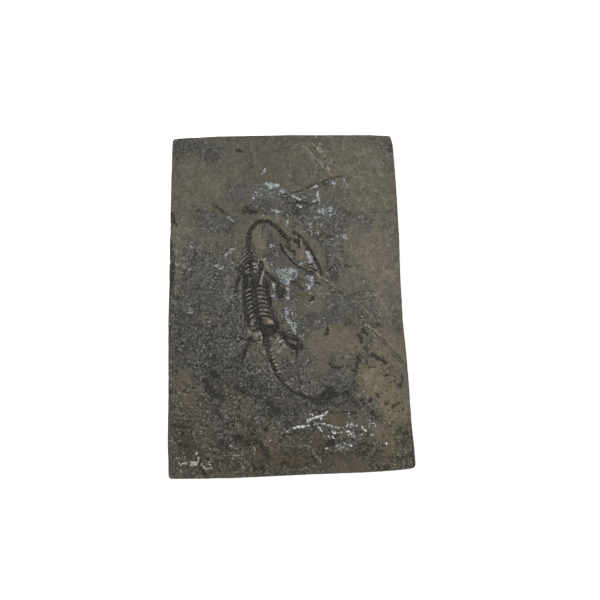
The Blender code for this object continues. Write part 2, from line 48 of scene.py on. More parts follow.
# The slab's outline, as the CAD source has it: four sides from corner to corner.
SLAB_WIDTH = 173.4
SLAB_LENGTH = 240.4
FACE = 15.0  # the height of the slab's face
BOTTOM_SIDE = [(-86.2, -120.2), (-49.3, -119.9), (-17.1, -118.5), (11.6, -117.1), (50.1, -115.7),
    (71.8, -114.3)]
RIGHT_SIDE = [(86.9, -112.6), (86, -100.3), (84.4, -86.3), (83, -68.8), (81.3, -44.3), (80.2, -31.7),
    (78.8, -19.8), (77.8, -9.3), (76, 22.2), (75.3, 46.7), (73.2, 81.7), (70.8, 113.2)]
TOP_SIDE = [(69.2, 119.6), (55, 120.2), (-1, 120.2), (-50, 119.3), (-71, 118.2)]
LEFT_SIDE = [(-83.4, 117.5), (-84.3, 88.7), (-85.3, 46.7), (-85.7, 18.7), (-86.4, -9.3), (-86.4, -65.3),
    (-86.9, -93.3)]
CORNER_RADII = (2.6, 3.6, 2.2, 2.8)
CORNER_STEPS = 16

# The slab's mesh. Its face is a grid that is finer over the skeleton.
CELLS_ACROSS = 212
CELLS_ALONG = 332
BACK_STRIDE = 4  # one cell of the sawn back spans this many cells of the face
BACK_ACROSS = CELLS_ACROSS // BACK_STRIDE
BACK_ALONG = CELLS_ALONG // BACK_STRIDE
SKELETON_X = (-46.0, 36.0)
SKELETON_Y = (-70.0, 96.0)
SPARSE = 0.6  # how many cells a millimetre the rest has, against the skeleton's ground
GRID_FADE = 14.0  # the width over which the grid goes over from sparse to fine
GRID_SAMPLES = 3000
ROCK_TOP = 15.55  # no rock stands higher
BACK_UNEVEN, BACK_NOISE = 0.16, (14.0, 95)  # how the sawn back rises and falls
BACK_LEVEL = 0.5  # its height where the noise is nought, as a share of that
ON_FACE, ON_BACK, FIRST_SIDE = 0, 2, 3  # the kinds of its faces; the four sides follow each other
# The face's rim takes on the sides' darker look as painted shade along the edge.
RIM_SHADE = 0.72  # how much the face's rim has of the sides' look

# Where the bake map holds the face, the back and the first side: left, bottom, width and height.
FACE_BOX = (0.004, 0.004, 0.672, 0.932)
BACK_BOX = (0.690, 0.006, 0.300, 0.415)
SIDE_BOX = (0.692, 0.435, 0.066, 0.555)
SIDE_STEP = 0.077  # from one side's place on the map to the next
SIDE_HEIGHT = 16.0  # the height of slab that a side's place on the map takes in

# Where a bone's map holds its upper and its lower faces, in the same way.
UPPER_BOX = (0.01, 0.01, 0.66, 0.98)
LOWER_BOX = (0.70, 0.01, 0.29, 0.98)

# The broken sides from the face down: height, how far in, and how rough.
SIDE_ROWS = [(15, 0.62, 0.08), (14.72, 0.22, 0.14), (14.1, 0.04, 0.24), (13, 0.02, 0.34),
    (11.7, 0.06, 0.62), (10.5, 0.14, 0.66), (9.9, 0.55, 0.5), (9.4, 0.18, 0.55), (8, 0.12, 0.66),
    (6.5, 0.1, 0.72), (5.6, 0.16, 0.6), (5.1, 0.62, 0.45), (4.6, 0.2, 0.5), (3.1, 0.14, 0.65),
    (1.6, 0.2, 0.5), (0.5, 0.48, 0.25), (0, 0.9, 0.1)]

# Teeth stand out of the broken sides, coarse and fine ones, and the layers wave.
TEETH_LEVEL, TEETH_MOST = 0.5, 1.4
COARSE_TEETH, COARSE_NOISE = 0.36, (6.0, 71, 2)
FINE_TEETH, FINE_NOISE = 0.30, (1.7, 75, 2)
TEETH_DOWN = 1.6  # how much faster the teeth change downwards than along a side
WAVE_HEIGHT, WAVE_NOISE = 0.75, (34.0, 81, 2)
WAVE_ROWS, WAVE_DOWN = 3, 9.0  # so many rows wave together, and this far from the next in the noise
CALM_ROWS = 2  # the rows that stay level, below the face's edge and down to the back's

# Broken places: the outline, the line where they are deepest, the depth there and their run-out.
SPALLS = [([(-6.6, 78.2), (1.1, 79.8), (6, 81.2), (13, 84), (24.9, 89.3), (34.7, 91.5), (33.2, 77.5),
    (19, 70), (1, 70)],
    [(-8.7, 78.2), (1.1, 79.8), (6, 81.2), (13, 84), (18.6, 86.5), (24.9, 89.3), (34.7, 91.5)], 0.75, 12),
    ([(19, -73), (32, -73.8), (44.8, -74.6), (41, -85.5), (21.4, -85.5)],
    [(19, -73), (32, -73.4), (44.8, -74.6)], 1, 12),
    ([(-1, 17), (5, 14.5), (10, 15.5), (9.5, 24.8), (3.5, 25)], [(-1, 17.6), (4.6, 15.2), (9.4, 13.6)],
    0.8, 9), ([(6, 5.5), (14, 4.5), (16.6, 8), (13.2, 12), (7, 12.5)], [(11, 4.6), (15.4, 6.2), (17, 8)],
    0.8, 7)]
SPALL_STEP = 0.12  # how deep a broken place is all over, besides
# Pits and chips, as the bowls that a broken-out piece leaves: middle x, y, z and three radii.
BOWLS = [(27, -95.4, 15.2, 3, 2.2, 1), (-4.8, 17.7, 15.1, 1.3, 1, 0.8), (2, 73, 15.2, 4.2, 1, 0.7),
    (48, -36.5, 15.3, 3.2, 3.6, 0.9), (61, -76.5, 15.3, 2.4, 5, 0.8), (-64, -106.5, 15.3, 8, 2.4, 0.9),
    (-87.6, 56, 14.6, 4.4, 10, 2.8), (-87.6, 34, 14.8, 3.8, 8.5, 2.8), (-88.4, 15, 14.8, 4, 6, 2.4),
    (82.6, -42.5, 14.6, 3, 3.6, 2.2), (-84.8, -106, 15.2, 3.2, 4, 1.4), (36, -118.4, 14.8, 7, 2.6, 1.6),
    (-52, -121, 15, 9, 2.6, 1.6), (79, 96, 15, 5.6, 7, 2)]
BOWL_WAVE, BOWL_NOISE = 0.16, (2.6, 91, 2)
BOWL_ROUGH = 0.1  # what a bowl's floor shows of its wave
BOWL_LOW = 5.0  # no bowl reaches below this height
EDGE_X, EDGE_Y = 70, 112  # a bowl that lies farther out than this bites into the slab's edge
BITE = 0.5  # how far, as a share of its radius

# Long cracks of the face, for relief and for the fine dark lines.
LONG_CRACK = [(41.5, 2.9), (45.7, -1.3), (49.5, -5.5), (53.3, -10.4), (57.5, -14.9), (62, -20.2),
    (67.3, -26.4), (72.2, -32), (78.4, -38.6), (83.3, -43.9)]
FIRST_CRACK = [(21.2, 19.6), (26.1, 16.1), (30.3, 13.3), (33.8, 11.2), (37.3, 7), (41.5, 2.9)]
BRANCH_CRACK = [(37.3, 7), (41.5, 8), (45.7, 9.8), (51.9, 11.2), (58.2, 11)]
LEDGE_CRACK = [(-8.7, 78.2), (-3.9, 78.5), (1, 79.6), (5.9, 81), (10.1, 82.5), (14.3, 84.8), (18.5, 86.6),
    (24.7, 89), (29.6, 90.7), (34.5, 91.4)]
CROSS_CRACK = [(-83.4, 66.3), (-70.8, 66.7), (-58.3, 66), (-45.7, 66.3), (-32.5, 67), (-20.6, 65.6),
    (-9.4, 64.9), (5.9, 65.3), (19.9, 64.6), (34.5, 65.6), (47.8, 65.6), (63.8, 66.3), (75.7, 67)]
FLAKE_CRACK = [(19.9, -72.9), (25.4, -72.5), (31.7, -72.6), (38, -73), (45, -74.1)]
CORNER_CRACK = [(-66.2, -105.3), (-65.2, -108.7), (-63.2, -112.2), (-61.1, -115.7), (-59, -119.2)]
ARCH_CRACK = [(-20.6, 56.9), (-20.3, 54.5), (-20.5, 51.7), (-20.3, 48.9)]
# How deep each crack cuts, and how high the step is between its two sides.
CRACK_RELIEF = [(LONG_CRACK, 0.5, 0.22), (FIRST_CRACK, 0.2, 0.12), (BRANCH_CRACK, 0.15, 0.06),
                (CORNER_CRACK, 0.5, 0), (CROSS_CRACK, 0.08, 0.04)]
CRACK_HALF = 0.55
STEP_REACH = 7.0

# The face's relief. A noise of the shapes is given by the size of its lumps, its seed and its layers.
LUMPS = [(1.9, 11, 2), (8.0, 21, 3), (45.0, 31, 3)]
LUMP_HEIGHT = 0.10
WOBBLE = (3.0, 41)  # it shifts the outlines of the relief below, by about WOBBLE_REACH
WOBBLE_REACH = 0.7
FLECKED_HEIGHT, FLECKED_NOISE = 0.09, (1.5, 51, 2)
CRUST_HEIGHT, CRUST_NOISE = 0.16, (1.6, 61, 2)
CRUST_LEVEL = 0.6  # what a crust has of its height where its noise is nought
DARK_DEPTH = 0.22
TROUGH_DEPTH = 0.42  # how deep the preparer's trough round the bones is
TROUGH_START, TROUGH_END = 0.3, 2.6  # its slope, from the bones out
TROUGH_LOW, TROUGH_HIGH = (-51, -75), (56, 96)  # the corners of the ground that it lies on
CRACK_FADE = 2.0  # how far past its end a crack's relief runs out

# The fine lines of the face: the lines that count, and how strongly.
LONG_MARKS = [(LONG_CRACK[:5], 0.45), (LONG_CRACK[4:], 1.0)]
THIN_MARKS = [(LEDGE_CRACK, 1.0), (FLAKE_CRACK, 1.0), (CORNER_CRACK, 1.0), (ARCH_CRACK, 1.0)]
CROSS_MARKS = [(CROSS_CRACK, 0.7), (BRANCH_CRACK, 1.0), (FIRST_CRACK, 1.2)]
MARK_FULL, MARK_END, MARK_FAR = 1.6, 3.2, 4.0  # so far off a line counts fully, not any more, and is lost
MARK_FADE = 1.2  # how far past its end it runs out

# The smooth lines: how many points each gets for every point measured on the photo.
CRACK_POINTS, SPALL_POINTS, BONE_POINTS = 8, 6, 5
CURVE_STEPS = 16  # the steps between two measured points from which those are spaced out evenly
LENGTH_STEPS = 200  # the points that a line's length is worked out from

# All noise of the shapes: a layer's strength against the one before, and its swing.
LAYER_SHARE = 0.55
NOISE_SWING = 1.25
SWAY_SEEDS = (0, 6)  # added to a seed for a shift along x and one along y
FAR = 1e9

# How the strokes are laid on: the noises that fray their outlines, and how soft their edges are.
FINE_SWAY = (2.4, 101, 2)
BROAD_SWAY = (11.0, 111)
NEAR_REACH = 0.55  # for marks that keep their place, by the fine noise
WIDE_REACH, BROAD_REACH = 0.9, 2.6  # for grounds, by the fine and by the broad noise
PALE_REACH, SCRATCH_REACH = 0.25, 0.3
VERY_SOFT, SOFT, GROUND_SOFT, CRISP, VERY_CRISP = 1.2, 0.9, 0.8, 0.5, 0.35
# How flecked and how light the ground is, without strokes and with them.
FLECKED, FLECKED_MORE, FLECKED_LESS = 0.46, 0.62, 0.66
FLECKED_SWING, FLECKED_SWELLS = 0.16, (16.0, 121)
TONE_MORE, TONE_LESS = 0.36, 0.34

# What the rock's face shows, as strokes. A stroke is how strong it is, how wide it is to each
# side, and x and y of each point on its way. Each was placed one by one.
# Calcite that still crusts the face, from solid patches to a scatter of specks.
CALCITE = [(1.3, 0.9, -19.5, 86.3, -16.4, 85.6), (1.42, 1.5, -15, 84.9, -12.5, 84.5, -10.1, 84.7),
    (0.5, 4.6, -24.1, 79.6, -18.5, 80.3, -13.6, 78.9), (1.25, 1.5, -7.4, 80.6, -5, 80.8),
    (0.9, 0.7, -8.5, 78.2, -7.8, 80.3), (0.8, 0.6, -3.2, 80.1, -1.1, 79.3),
    (1.25, 1.1, -26.6, 76.1, -25.8, 75), (1.1, 0.6, -24.6, 70.1, -24, 69.5),
    (0.95, 0.8, -20.9, 92.7, -19.6, 94.1, -18.8, 94.7), (0.5, 0.5, -21.9, 96.5, -21.2, 94),
    (0.55, 0.5, -18, 96.7, -18.4, 95.2), (0.6, 1, -15, 68.8, -12.9, 67),
    (0.7, 0.6, -10.8, 66.3, -10.1, 61.7), (0.7, 0.9, -21.7, 63.5, -18.8, 64),
    (0.55, 0.9, -31.1, 114.5, -29.7, 109.6, -28.3, 104), (1.15, 0.6, 0, 78.5, 3.1, 76.8, 6.3, 75.4),
    (0.95, 0.4, -7.6, 77.6, -3.9, 77.8, 0.3, 78.9), (0.9, 0.4, 4.8, 79.6, 8.7, 81.1, 12.2, 82.8),
    (0.85, 0.45, 28.5, 81, 30, 84.5, 31.7, 88.7), (0.8, 0.4, 27.5, 75.4, 28.6, 78.9),
    (0.5, 2, 6.6, 76.8, 10.8, 77.8, 15, 78.2), (1, 0.8, 14.8, 83.5, 17.5, 84.6),
    (0.7, 0.5, 6.6, 80, 10.8, 81.8, 14.3, 83.1), (1.2, 0.7, 18.2, 80.6, 18.6, 76.8, 19.3, 72.6),
    (0.95, 0.8, 15.7, 73.7, 17.8, 75.1), (1.1, 0.8, 4.2, 70.9, 6.3, 70.1),
    (1.15, 1.2, 18.7, 67.4, 21, 65.9), (0.8, 2.4, 23.1, 67, 26.8, 68.8),
    (1.05, 0.9, 16.1, 62.6, 19.6, 62.4), (0.8, 0.6, 4.8, 63.1, 9.2, 63.5),
    (0.85, 0.5, 27.5, 71.5, 28.6, 70.2), (0.56, 3, 18.5, 69.1, 24, 65.6, 29.6, 62.8),
    (0.62, 1, 12.9, 59.4, 13.3, 55.2), (0.9, 1, 13.6, 53.1, 14.1, 50.7),
    (0.42, 2.4, 15.7, 60.1, 21.2, 56.6), (0.78, 0.9, 18.1, 54.5, 18.8, 50.3),
    (0.64, 1.2, -1.8, 66.3, -2.5, 61.4, -3.2, 56.6), (0.4, 2.2, -20.6, 68.4, -13.6, 67.7, -5.3, 66.3),
    (0.78, 1, -44.3, 64.2, -40.8, 60.1), (0.76, 1.1, -39.4, 40.5, -43.6, 38.4, -45.7, 35.6),
    (0.62, 1.5, -54.8, 30.8, -50.6, 28, -45.7, 27.3), (0.56, 1, -43.6, 83.8, -42.9, 78.9),
    (0.62, 0.8, -71.5, 19.6, -72.2, 16.8), (0.62, 0.8, -72.2, 9.8, -72.9, 6.3),
    (0.36, 3.4, -78.5, 2.9, -72.9, -0.6, -72.2, -5.5), (0.96, 3, -7.1, 24.3, -2.5, 24.8, 2.4, 24.5),
    (0.99, 2.8, -6.7, 21.3, -1.8, 21.7), (1, 2, -6.9, 18.2, -3.9, 17.9),
    (0.9, 0.7, -10.4, 26.2, -8.3, 26.9), (0.9, 0.6, 0, 18.9, 2.8, 20.7, 4.6, 23.5),
    (0.7, 1.5, -12.9, 16.8, -11.5, 11.9, -12.9, 7), (0.86, 1.3, -2.5, 18.9, -2.2, 14, -2.5, 6.3),
    (0.6, 1.2, -12.9, 7.7, -11.5, 5), (0.92, 2.4, 10.8, 21.3, 14.7, 20.6),
    (0.86, 2.2, 14.3, 18.2, 12.6, 14.7), (0.95, 0.8, 8.3, 15.7, 10.4, 15.8),
    (0.8, 0.7, 12.5, 10, 17.6, 11.9, 23.2, 15.7), (0.44, 5, -1.1, -0.6, 1, -6.2, 4.5, -13.9),
    (0.95, 1.2, -3.6, -0.6, -3, -7.6, -0.4, -12.5, 2.7, -17.1),
    (0.38, 4, 26.8, 5.6, 33.1, 2.9, 40.1, -1.3), (0.44, 3.6, 15, -9, 24, -10.4),
    (0.75, 0.8, 9.4, 1.5, 12.2, 0.8, 14.3, 3.2), (0.62, 0.9, 32.4, -9, 31.4, -13.2),
    (0.74, 1, 28.2, 88.7, 30.3, 83.8), (0.76, 1, 35.9, 90, 39.4, 83.8),
    (1.35, 0.75, -7.8, -24.2, -6, -23.4), (0.3, 1.2, -6, -26.9, -3.2, -28.1), (1.1, 0.5, -6.4, -16),
    (1.05, 0.5, -3.6, -17.9), (1.15, 0.5, 4.1, -22.7), (0.95, 0.45, 1.9, -30.8, 1.6, -31.3),
    (0.55, 0.5, -4.8, -27.3, -3.7, -27.8), (1.05, 0.4, -1.6, -27.3), (1.05, 0.4, 4.1, -22.6),
    (1.05, 0.4, -3.6, -18.2), (0.7, 0.6, -13.6, -16.1), (1.35, 1.9, 11.8, 37.2, 12, 34.5),
    (1.35, 1.9, 12.7, 34.7, 13.6, 32.6), (0.56, 1.6, 5.9, 30.8, 9.4, 31),
    (0.6, 0.6, 3.1, 31.2, 5.2, 29.1, 8, 28.2), (0.5, 0.6, 10.8, 26.4, 14.3, 28.5, 17.1, 27.4),
    (0.5, 0.6, 11.5, 24.2, 15, 26.2, 18.5, 24.9), (0.6, 0.5, 0.3, 33.1, 1.3, 32.4),
    (0.6, 0.5, -6, 41.6, -4.6, 39.1), (0.78, 1.2, -14.7, 42.6, -11.2, 42.3),
    (0.74, 0.8, -13.6, 31.5, -14, 29.4), (0.66, 0.8, -26.9, 51, -26.9, 49.2),
    (1.1, 0.45, -7.4, -87.8, -3.9, -86.3, 0.7, -84.7), (1.35, 0.75, 0.7, -84.6, 4.5, -83.8, 9.1, -83.1),
    (1.15, 0.5, 9.1, -83.1, 13.7, -82.2, 18.5, -81.8), (1.25, 0.55, 21, -81.8, 24.7, -82.1, 28.8, -82.7),
    (0.95, 0.8, 31, -83.8, 34.5, -84.6), (0.74, 1.3, -5.1, -86.8, -1.4, -86.7),
    (1.35, 0.95, 11.3, -79.3, 13.2, -79), (1.1, 0.7, 14.3, -77.8, 18.3, -76.4, 22.9, -75.3, 24.7, -73.2),
    (0.9, 0.45, 12.9, -74.8, 15.4, -75.1), (1.05, 0.6, 20.5, -77.4, 21.5, -79.2),
    (1, 0.5, 18.7, -83.4, 19.6, -85, 21.2, -86.3), (0.95, 1, 28.1, -86.7, 30.3, -87.7),
    (0.8, 1, 25.6, -89.9, 26.5, -91.7), (0.8, 0.8, 28.6, -90.3, 29.6, -91.7),
    (1, 0.45, 32.1, -87.8, 36.7, -87.6), (0.8, 1.5, 39.4, -87.8, 42.6, -88.5),
    (1.2, 0.6, 42.2, -90.3, 44.3, -90.6), (1.35, 0.75, 39.8, -74.6, 40, -76),
    (0.85, 1.3, 39.4, -80.4, 42.6, -80.1), (0.6, 2.4, 40.1, -82, 43.6, -82),
    (0.9, 0.5, 54.2, -83.2, 54.4, -81.7, 57.9, -81.5, 58.6, -82.9), (0.7, 0.6, 54.4, -83.6, 55, -86.4),
    (0.8, 0.6, 57.2, -85, 57.5, -88.9), (0.95, 0.6, 48.7, -88.5, 49.6, -89.1),
    (0.85, 0.6, 49.8, -90.9, 51, -91.3), (0.46, 2.4, 49.8, -84.3, 54.7, -88.5),
    (0.85, 0.7, 56.5, -94.4, 57.5, -94.5), (0.46, 1.4, 59.6, -94.8, 67.3, -95.2),
    (1.15, 0.8, 40.8, -96.3, 42.2, -96.9), (0.85, 0.6, 32.4, -99, 35.9, -98.6, 39.8, -99.3),
    (0.58, 2, 33.1, -96.2, 38, -95.9), (1.2, 0.55, 24.2, -98.4, 25.6, -98.3),
    (0.85, 0.45, 5.5, -93.5, 8.7, -90.6), (0.9, 0.55, 13.2, -93.3, 13.6, -93.5),
    (0.7, 0.5, 4.5, -98.3, 6.6, -98.1), (0.44, 4, 31.7, 57.3, 35.9, 49.6),
    (0.5, 0.8, -42.2, 81, -42.9, 74.7, -41.5, 84.5), (0.42, 4, -72.9, 1.5, -70.8, -3.4),
    (0.46, 2.2, -31.8, -43.2, -29, -45.3), (0.42, 2.4, -44.3, -27.1, -40.1, -29.9)]
# Thin grey-white bloom over the rock near the calcite.
BLOOM = [(1.05, 4.6, -24.1, 78.9, -17.8, 79.6, -12.2, 78.9), (0.55, 3, 19.9, 66.3, 29.6, 69.1),
    (0.45, 5, 4.5, 78.2, 18.5, 74.7), (0.4, 6, 18.5, 67.7, 29.6, 63.5),
    (0.55, 3.2, -8.7, 23.8, 3.1, 24.5), (0.4, 4, -2.5, 2.2, 4.5, -13.2), (0.35, 5, 27.5, 5, 39.4, -0.6),
    (0.4, 3, 10.1, 20.3, 15, 14), (0.3, 5, -59.7, 61.4, -48.5, 56.6), (0.25, 4, -77.1, 2.9, -72.2, -4.8)]
# Black and dark grey: open cracks, patches and the stains round them.
DARK = [(0.85, 0.5, -29.1, -20.9, -27.2, -21.3), (0.85, 0.5, -28.1, -24.1, -25.3, -23.6),
    (0.75, 0.4, -23.1, -21.7, -21.9, -20.4), (0.75, 0.4, -25.8, -18.2, -24.5, -17.8),
    (0.9, 0.6, -8.3, -22.4, -5.5, -21.8), (0.8, 0.5, -24, -25.3, -22.7, -24.8),
    (1, 1.1, 2.7, 73, 6.6, 73.2, 10.8, 72.5), (0.6, 0.6, -2.5, 72.3, 2.4, 72.7),
    (0.7, 0.8, 10.1, 69.1, 15, 71.9, 19.9, 74),
    (0.72, 1.1, -54.8, 71.9, -51.3, 69.5, -48.5, 67.4, -45.7, 64.6, -42.9, 63.2),
    (0.55, 1.6, -52, 70.5, -47.1, 65.6), (0.6, 0.9, -43.6, 62.8, -38.7, 62.5),
    (0.6, 1, -37.3, 68.1, -33.9, 67), (0.74, 2.1, -33.2, 66.7, -29, 66.3, -24.8, 66),
    (0.66, 1.6, -31.8, 69.5, -28.3, 68.8), (0.75, 1.2, -38.4, 109.6, -33.9, 108.2),
    (0.5, 1, -61.1, 107.5, -57.6, 109.2, -53.4, 107.5),
    (0.5, 1, -59.7, 103.6, -55.5, 101.6, -51.3, 103.3), (0.62, 1, -1.1, 17.9, 3.1, 16.8, 8, 13.7),
    (0.9, 1.1, -5.3, 18.6, -3.9, 16.8), (0.95, 1.1, 13.3, 4.5, 14.7, 6.1),
    (0.55, 0.7, 14.7, 6.1, 17.1, 8.4), (0.85, 0.9, 16.6, 16.8, 18.5, 17.2, 20.3, 16.1),
    (0.95, 1.5, -9.7, 13.3, -7.8, 10.8, -7.4, 8), (0.66, 1.5, 4.5, 15.4, 8, 12.6),
    (0.72, 2.4, 46.8, -34.8, 45.9, -39, 44.5, -43.9), (0.55, 1.8, 51.9, -36.9, 52.6, -41.1),
    (0.74, 2.2, 47.4, -19.8, 48.8, -23.6), (0.4, 1.6, 55.8, -21.6, 57.5, -23.6),
    (0.5, 1.6, 51.6, -27.8, 51.9, -31.3), (0.78, 1.7, 56.8, -33.4, 61, -35.5, 65.5, -39),
    (0.55, 0.9, 49.1, -34.1, 56.1, -33.4), (0.74, 1.5, 26.8, -40, 30.3, -41.8, 35.2, -42.8),
    (0.86, 1.4, 24.9, -14.9, 24.7, -18.4), (0.86, 2.4, 22.9, -60.2, 26.1, -58.5, 29.2, -60.1),
    (0.8, 1.4, 27.1, -56.8, 27.9, -55.7), (0.85, 0.9, 5.2, -54.6, 5.6, -56.1),
    (0.75, 0.9, 12.6, -52.8, 12.9, -54.3), (0.5, 0.6, 5.9, -54.3, 8.7, -52.7, 12.9, -52.9),
    (0.75, 0.8, 17.8, -57.3), (0.75, 1.3, 15, -66.6, 17.5, -67.6), (0.5, 2.6, 38.7, -60.6, 42.2, -64.8),
    (0.5, 2, 69.4, -45.3, 73.6, -48.8), (0.7, 1.3, 49.1, -15.3, 52.6, -18.8),
    (1.15, 2.1, 25.8, -95.3, 28.6, -94.8), (0.8, 0.9, 17.6, -79.3, 18.5, -78.7),
    (0.6, 1.8, 29.6, -90.6, 32.4, -88.5), (0.62, 1.6, -83.7, 64.9, -82.7, 60.8, -83.4, 56.6),
    (0.8, 0.8, -84.1, 65.9, -82, 61.4, -79.9, 56.6), (0.62, 1.5, -83.4, 42.6, -83.7, 25.9, -84.2, 9.1),
    (0.7, 0.8, -82.3, 31.5, -82.7, 16.1), (0.78, 0.9, -84.2, 45.4, -83, 35.6),
    (0.75, 1, 13.6, -103.9, 17.1, -108.7),
    (1.3, 0.42, -66.2, -106.4, -64.5, -109.4, -62.5, -112.9, -59.4, -117.8),
    (0.55, 2.2, -20.6, -81.5, -17.8, -86.4), (0.72, 2.6, -38.7, -89.9, -34.6, -93.4, -30.4, -95.5),
    (0.62, 2, -49.2, -94.8, -45.7, -96.9), (0.62, 2.4, -24.1, -92.7, -17.8, -99.7, -16.4, -105.3),
    (0.6, 1.6, -51.3, -74.6, -48.5, -76.7), (0.66, 1.8, -26.9, -110.1, -24.8, -112.2),
    (0.72, 2, -20.6, -111.2, -19.2, -114.3), (0.5, 2.4, -5.3, -108.7, 3.1, -111.5),
    (0.66, 3.2, -59, -53.6, -54.1, -60.6, -48.5, -63.4), (0.6, 2.4, -58.3, -44.6, -51.3, -48.1),
    (0.62, 2.4, -38.7, -55, -33.9, -59.9), (0.6, 2.4, -15, -66.2, -10.8, -74.6),
    (0.55, 2.6, -89.7, -58.5, -82, -59.9), (0.52, 3, -17.8, -66.2, -8, -73.2),
    (0.55, 2.4, 5.9, -66.9, 12.2, -69.7), (0.55, 2.2, 18.5, -67.6, 26.8, -66.2),
    (0.5, 2.2, 41.5, -64.8, 47.8, -69.7), (0.55, 1.8, 58.9, -92.7, 64.5, -96.9),
    (0.55, 1.6, 70.1, -89.9, 74.3, -94.8, 72.9, -101.1), (0.55, 1.6, 77, -85.7, 79.8, -92.7, 77.7, -99.7),
    (0.55, 1.8, 37.3, 30.1, 40.8, 27.3), (0.55, 2.2, 24, 27.3, 28.9, 24.5),
    (0.66, 2.6, -81.3, -82.2, -75.7, -83.6), (0.6, 2.6, -77.1, -95.5, -72.9, -97.6),
    (0.5, 2, -6, -101.1, -1.1, -105.3), (0.5, 2, 33.8, -103.9, 40.1, -106.6),
    (0.55, 2.4, -69.4, 24.5, -75, 18.2), (0.6, 1.6, -75.7, 5.6, -80.6, 7),
    (0.5, 2.2, -66.6, 38.4, -68.7, 33.5), (0.9, 0.9, 57.7, -41.8), (0.95, 1, 55.1, -41.4),
    (0.9, 1, 66.2, -47.4, 67.7, -48.1), (0.9, 0.8, 63.7, -47.7), (0.85, 0.8, 48.7, -45.8),
    (0.66, 1.4, 77.3, -47.1, 77.5, -50.5), (0.85, 1, 71.7, -51.8), (0.9, 1, 76, -53.6, 76.2, -55.7),
    (0.85, 0.9, 73.9, -54.8), (0.95, 1.1, 59.3, -60.8, 60.7, -62.4),
    (0.95, 1.1, 55.4, -63.7, 54.7, -66.2), (0.85, 0.9, 61, -67.1), (0.66, 1.4, 49.1, -64.1, 50.1, -67.6),
    (0.9, 0.9, 65.2, -66.9, 66.9, -67.3), (0.8, 1.2, 70.8, -69.4, 73.1, -68.3), (0.85, 1, 75, -67),
    (0.9, 0.9, 77.7, -70.8, 77.7, -72.2), (0.8, 1, 74.7, -73.1), (0.84, 1.6, 56.1, -73.4, 58.8, -76.4),
    (0.85, 0.9, 63.2, -74.8), (0.85, 0.8, 55.6, -79.9), (0.8, 0.8, 71.3, -72.7), (0.8, 0.8, 66.6, -58.5)]
# The film that the decayed animal left round its bones, and small bones no thicker than a film.
STAIN = [(1.1, 0.5, -36.2, 20.7, -37.9, 16.4, -39.3, 10.7),
    (0.8, 3.4, -27.6, 21, -26.9, 11.9, -24.8, 0.8, -22.7, -10.4),
    (0.95, 1.3, -32.8, 16.8, -33.2, 7.7, -31.8, 0.1, -30.4, -7.6, -29.7, -11.1),
    (1.05, 1.6, -24.8, 20.3, -26.2, 15.4), (1.05, 1.3, -32.2, 22.4, -31.9, 15.4),
    (1.1, 1.9, -20.6, -13.6, -16.4, -15, -10.1, -13.9),
    (1.05, 1.7, -17.8, -18.1, -16.4, -22.9, -15.7, -28.5),
    (0.95, 1.2, -17.1, 14, -15.4, 7.7, -14.3, 0.8, -12.8, -6.2, -11.1, -13.9),
    (0.95, 2.2, -30.4, 21, -23.4, 20.3, -21.3, 16.8), (0.95, 2.3, -21.3, -12.5, -17.1, -16, -11.5, -16),
    (0.9, 2.4, -24.1, -16.7, -21.3, -20.9, -18.5, -25), (0.8, 1.2, -29.7, -22.3, -25.5, -24),
    (0.8, 0.9, -31.8, -25.7, -29, -27.1), (0.75, 1.6, -1.8, -26.4, 2.4, -29.2, 3.8, -32),
    (0.85, 0.9, -34.9, -40, -30.7, -41.8), (0.8, 0.9, -38.4, -41.1, -37, -43.2),
    (0.6, 1.5, -31.1, 31.5, -31.8, 25.9), (0.8, 0.8, 44.3, -51.5, 42.2, -55),
    (0.7, 1.1, -10.1, 14, -7.4, 11.2, -8, 8.4), (0.85, 0.8, -3.5, 42.3, -0.4, 39.5),
    (0.75, 0.8, 4.9, 46.8, 5.9, 44.7),
    (0.8, 1.3, -16.6, 11.9, -15.2, 6.3, -13.9, -0.6, -12.7, -7.6, -11.1, -13.9),
    (0.5, 1, -20.7, -10, -18.8, -9.4, -17, -12.5),
    (0.7, 1.5, -33.3, 14.7, -33, 6.3, -32, -0.6, -30.8, -7.6),
    (0.66, 2.6, -18.8, 10.5, -17.3, 5, -16, -0.6), (0.52, 2.2, 10.1, 27.6, 13.6, 28.4, 16.8, 25.9),
    (0.52, 1.7, 10.2, 24.5, 13.6, 24.9, 17.5, 23.5), (0.8, 1, 16.2, 33.8, 17.1, 31.7, 18.5, 28.7),
    (0.9, 1, -7.8, -17.8, -5.3, -18.8), (0.8, 0.8, -35.7, -38.2, -34, -38.6),
    (0.7, 0.5, -17.8, -35.2, -19.9, -37.5, -21.6, -38.7),
    (0.7, 1.3, -20.2, -20.2, -17.4, -22.9, -16.1, -25.7)]
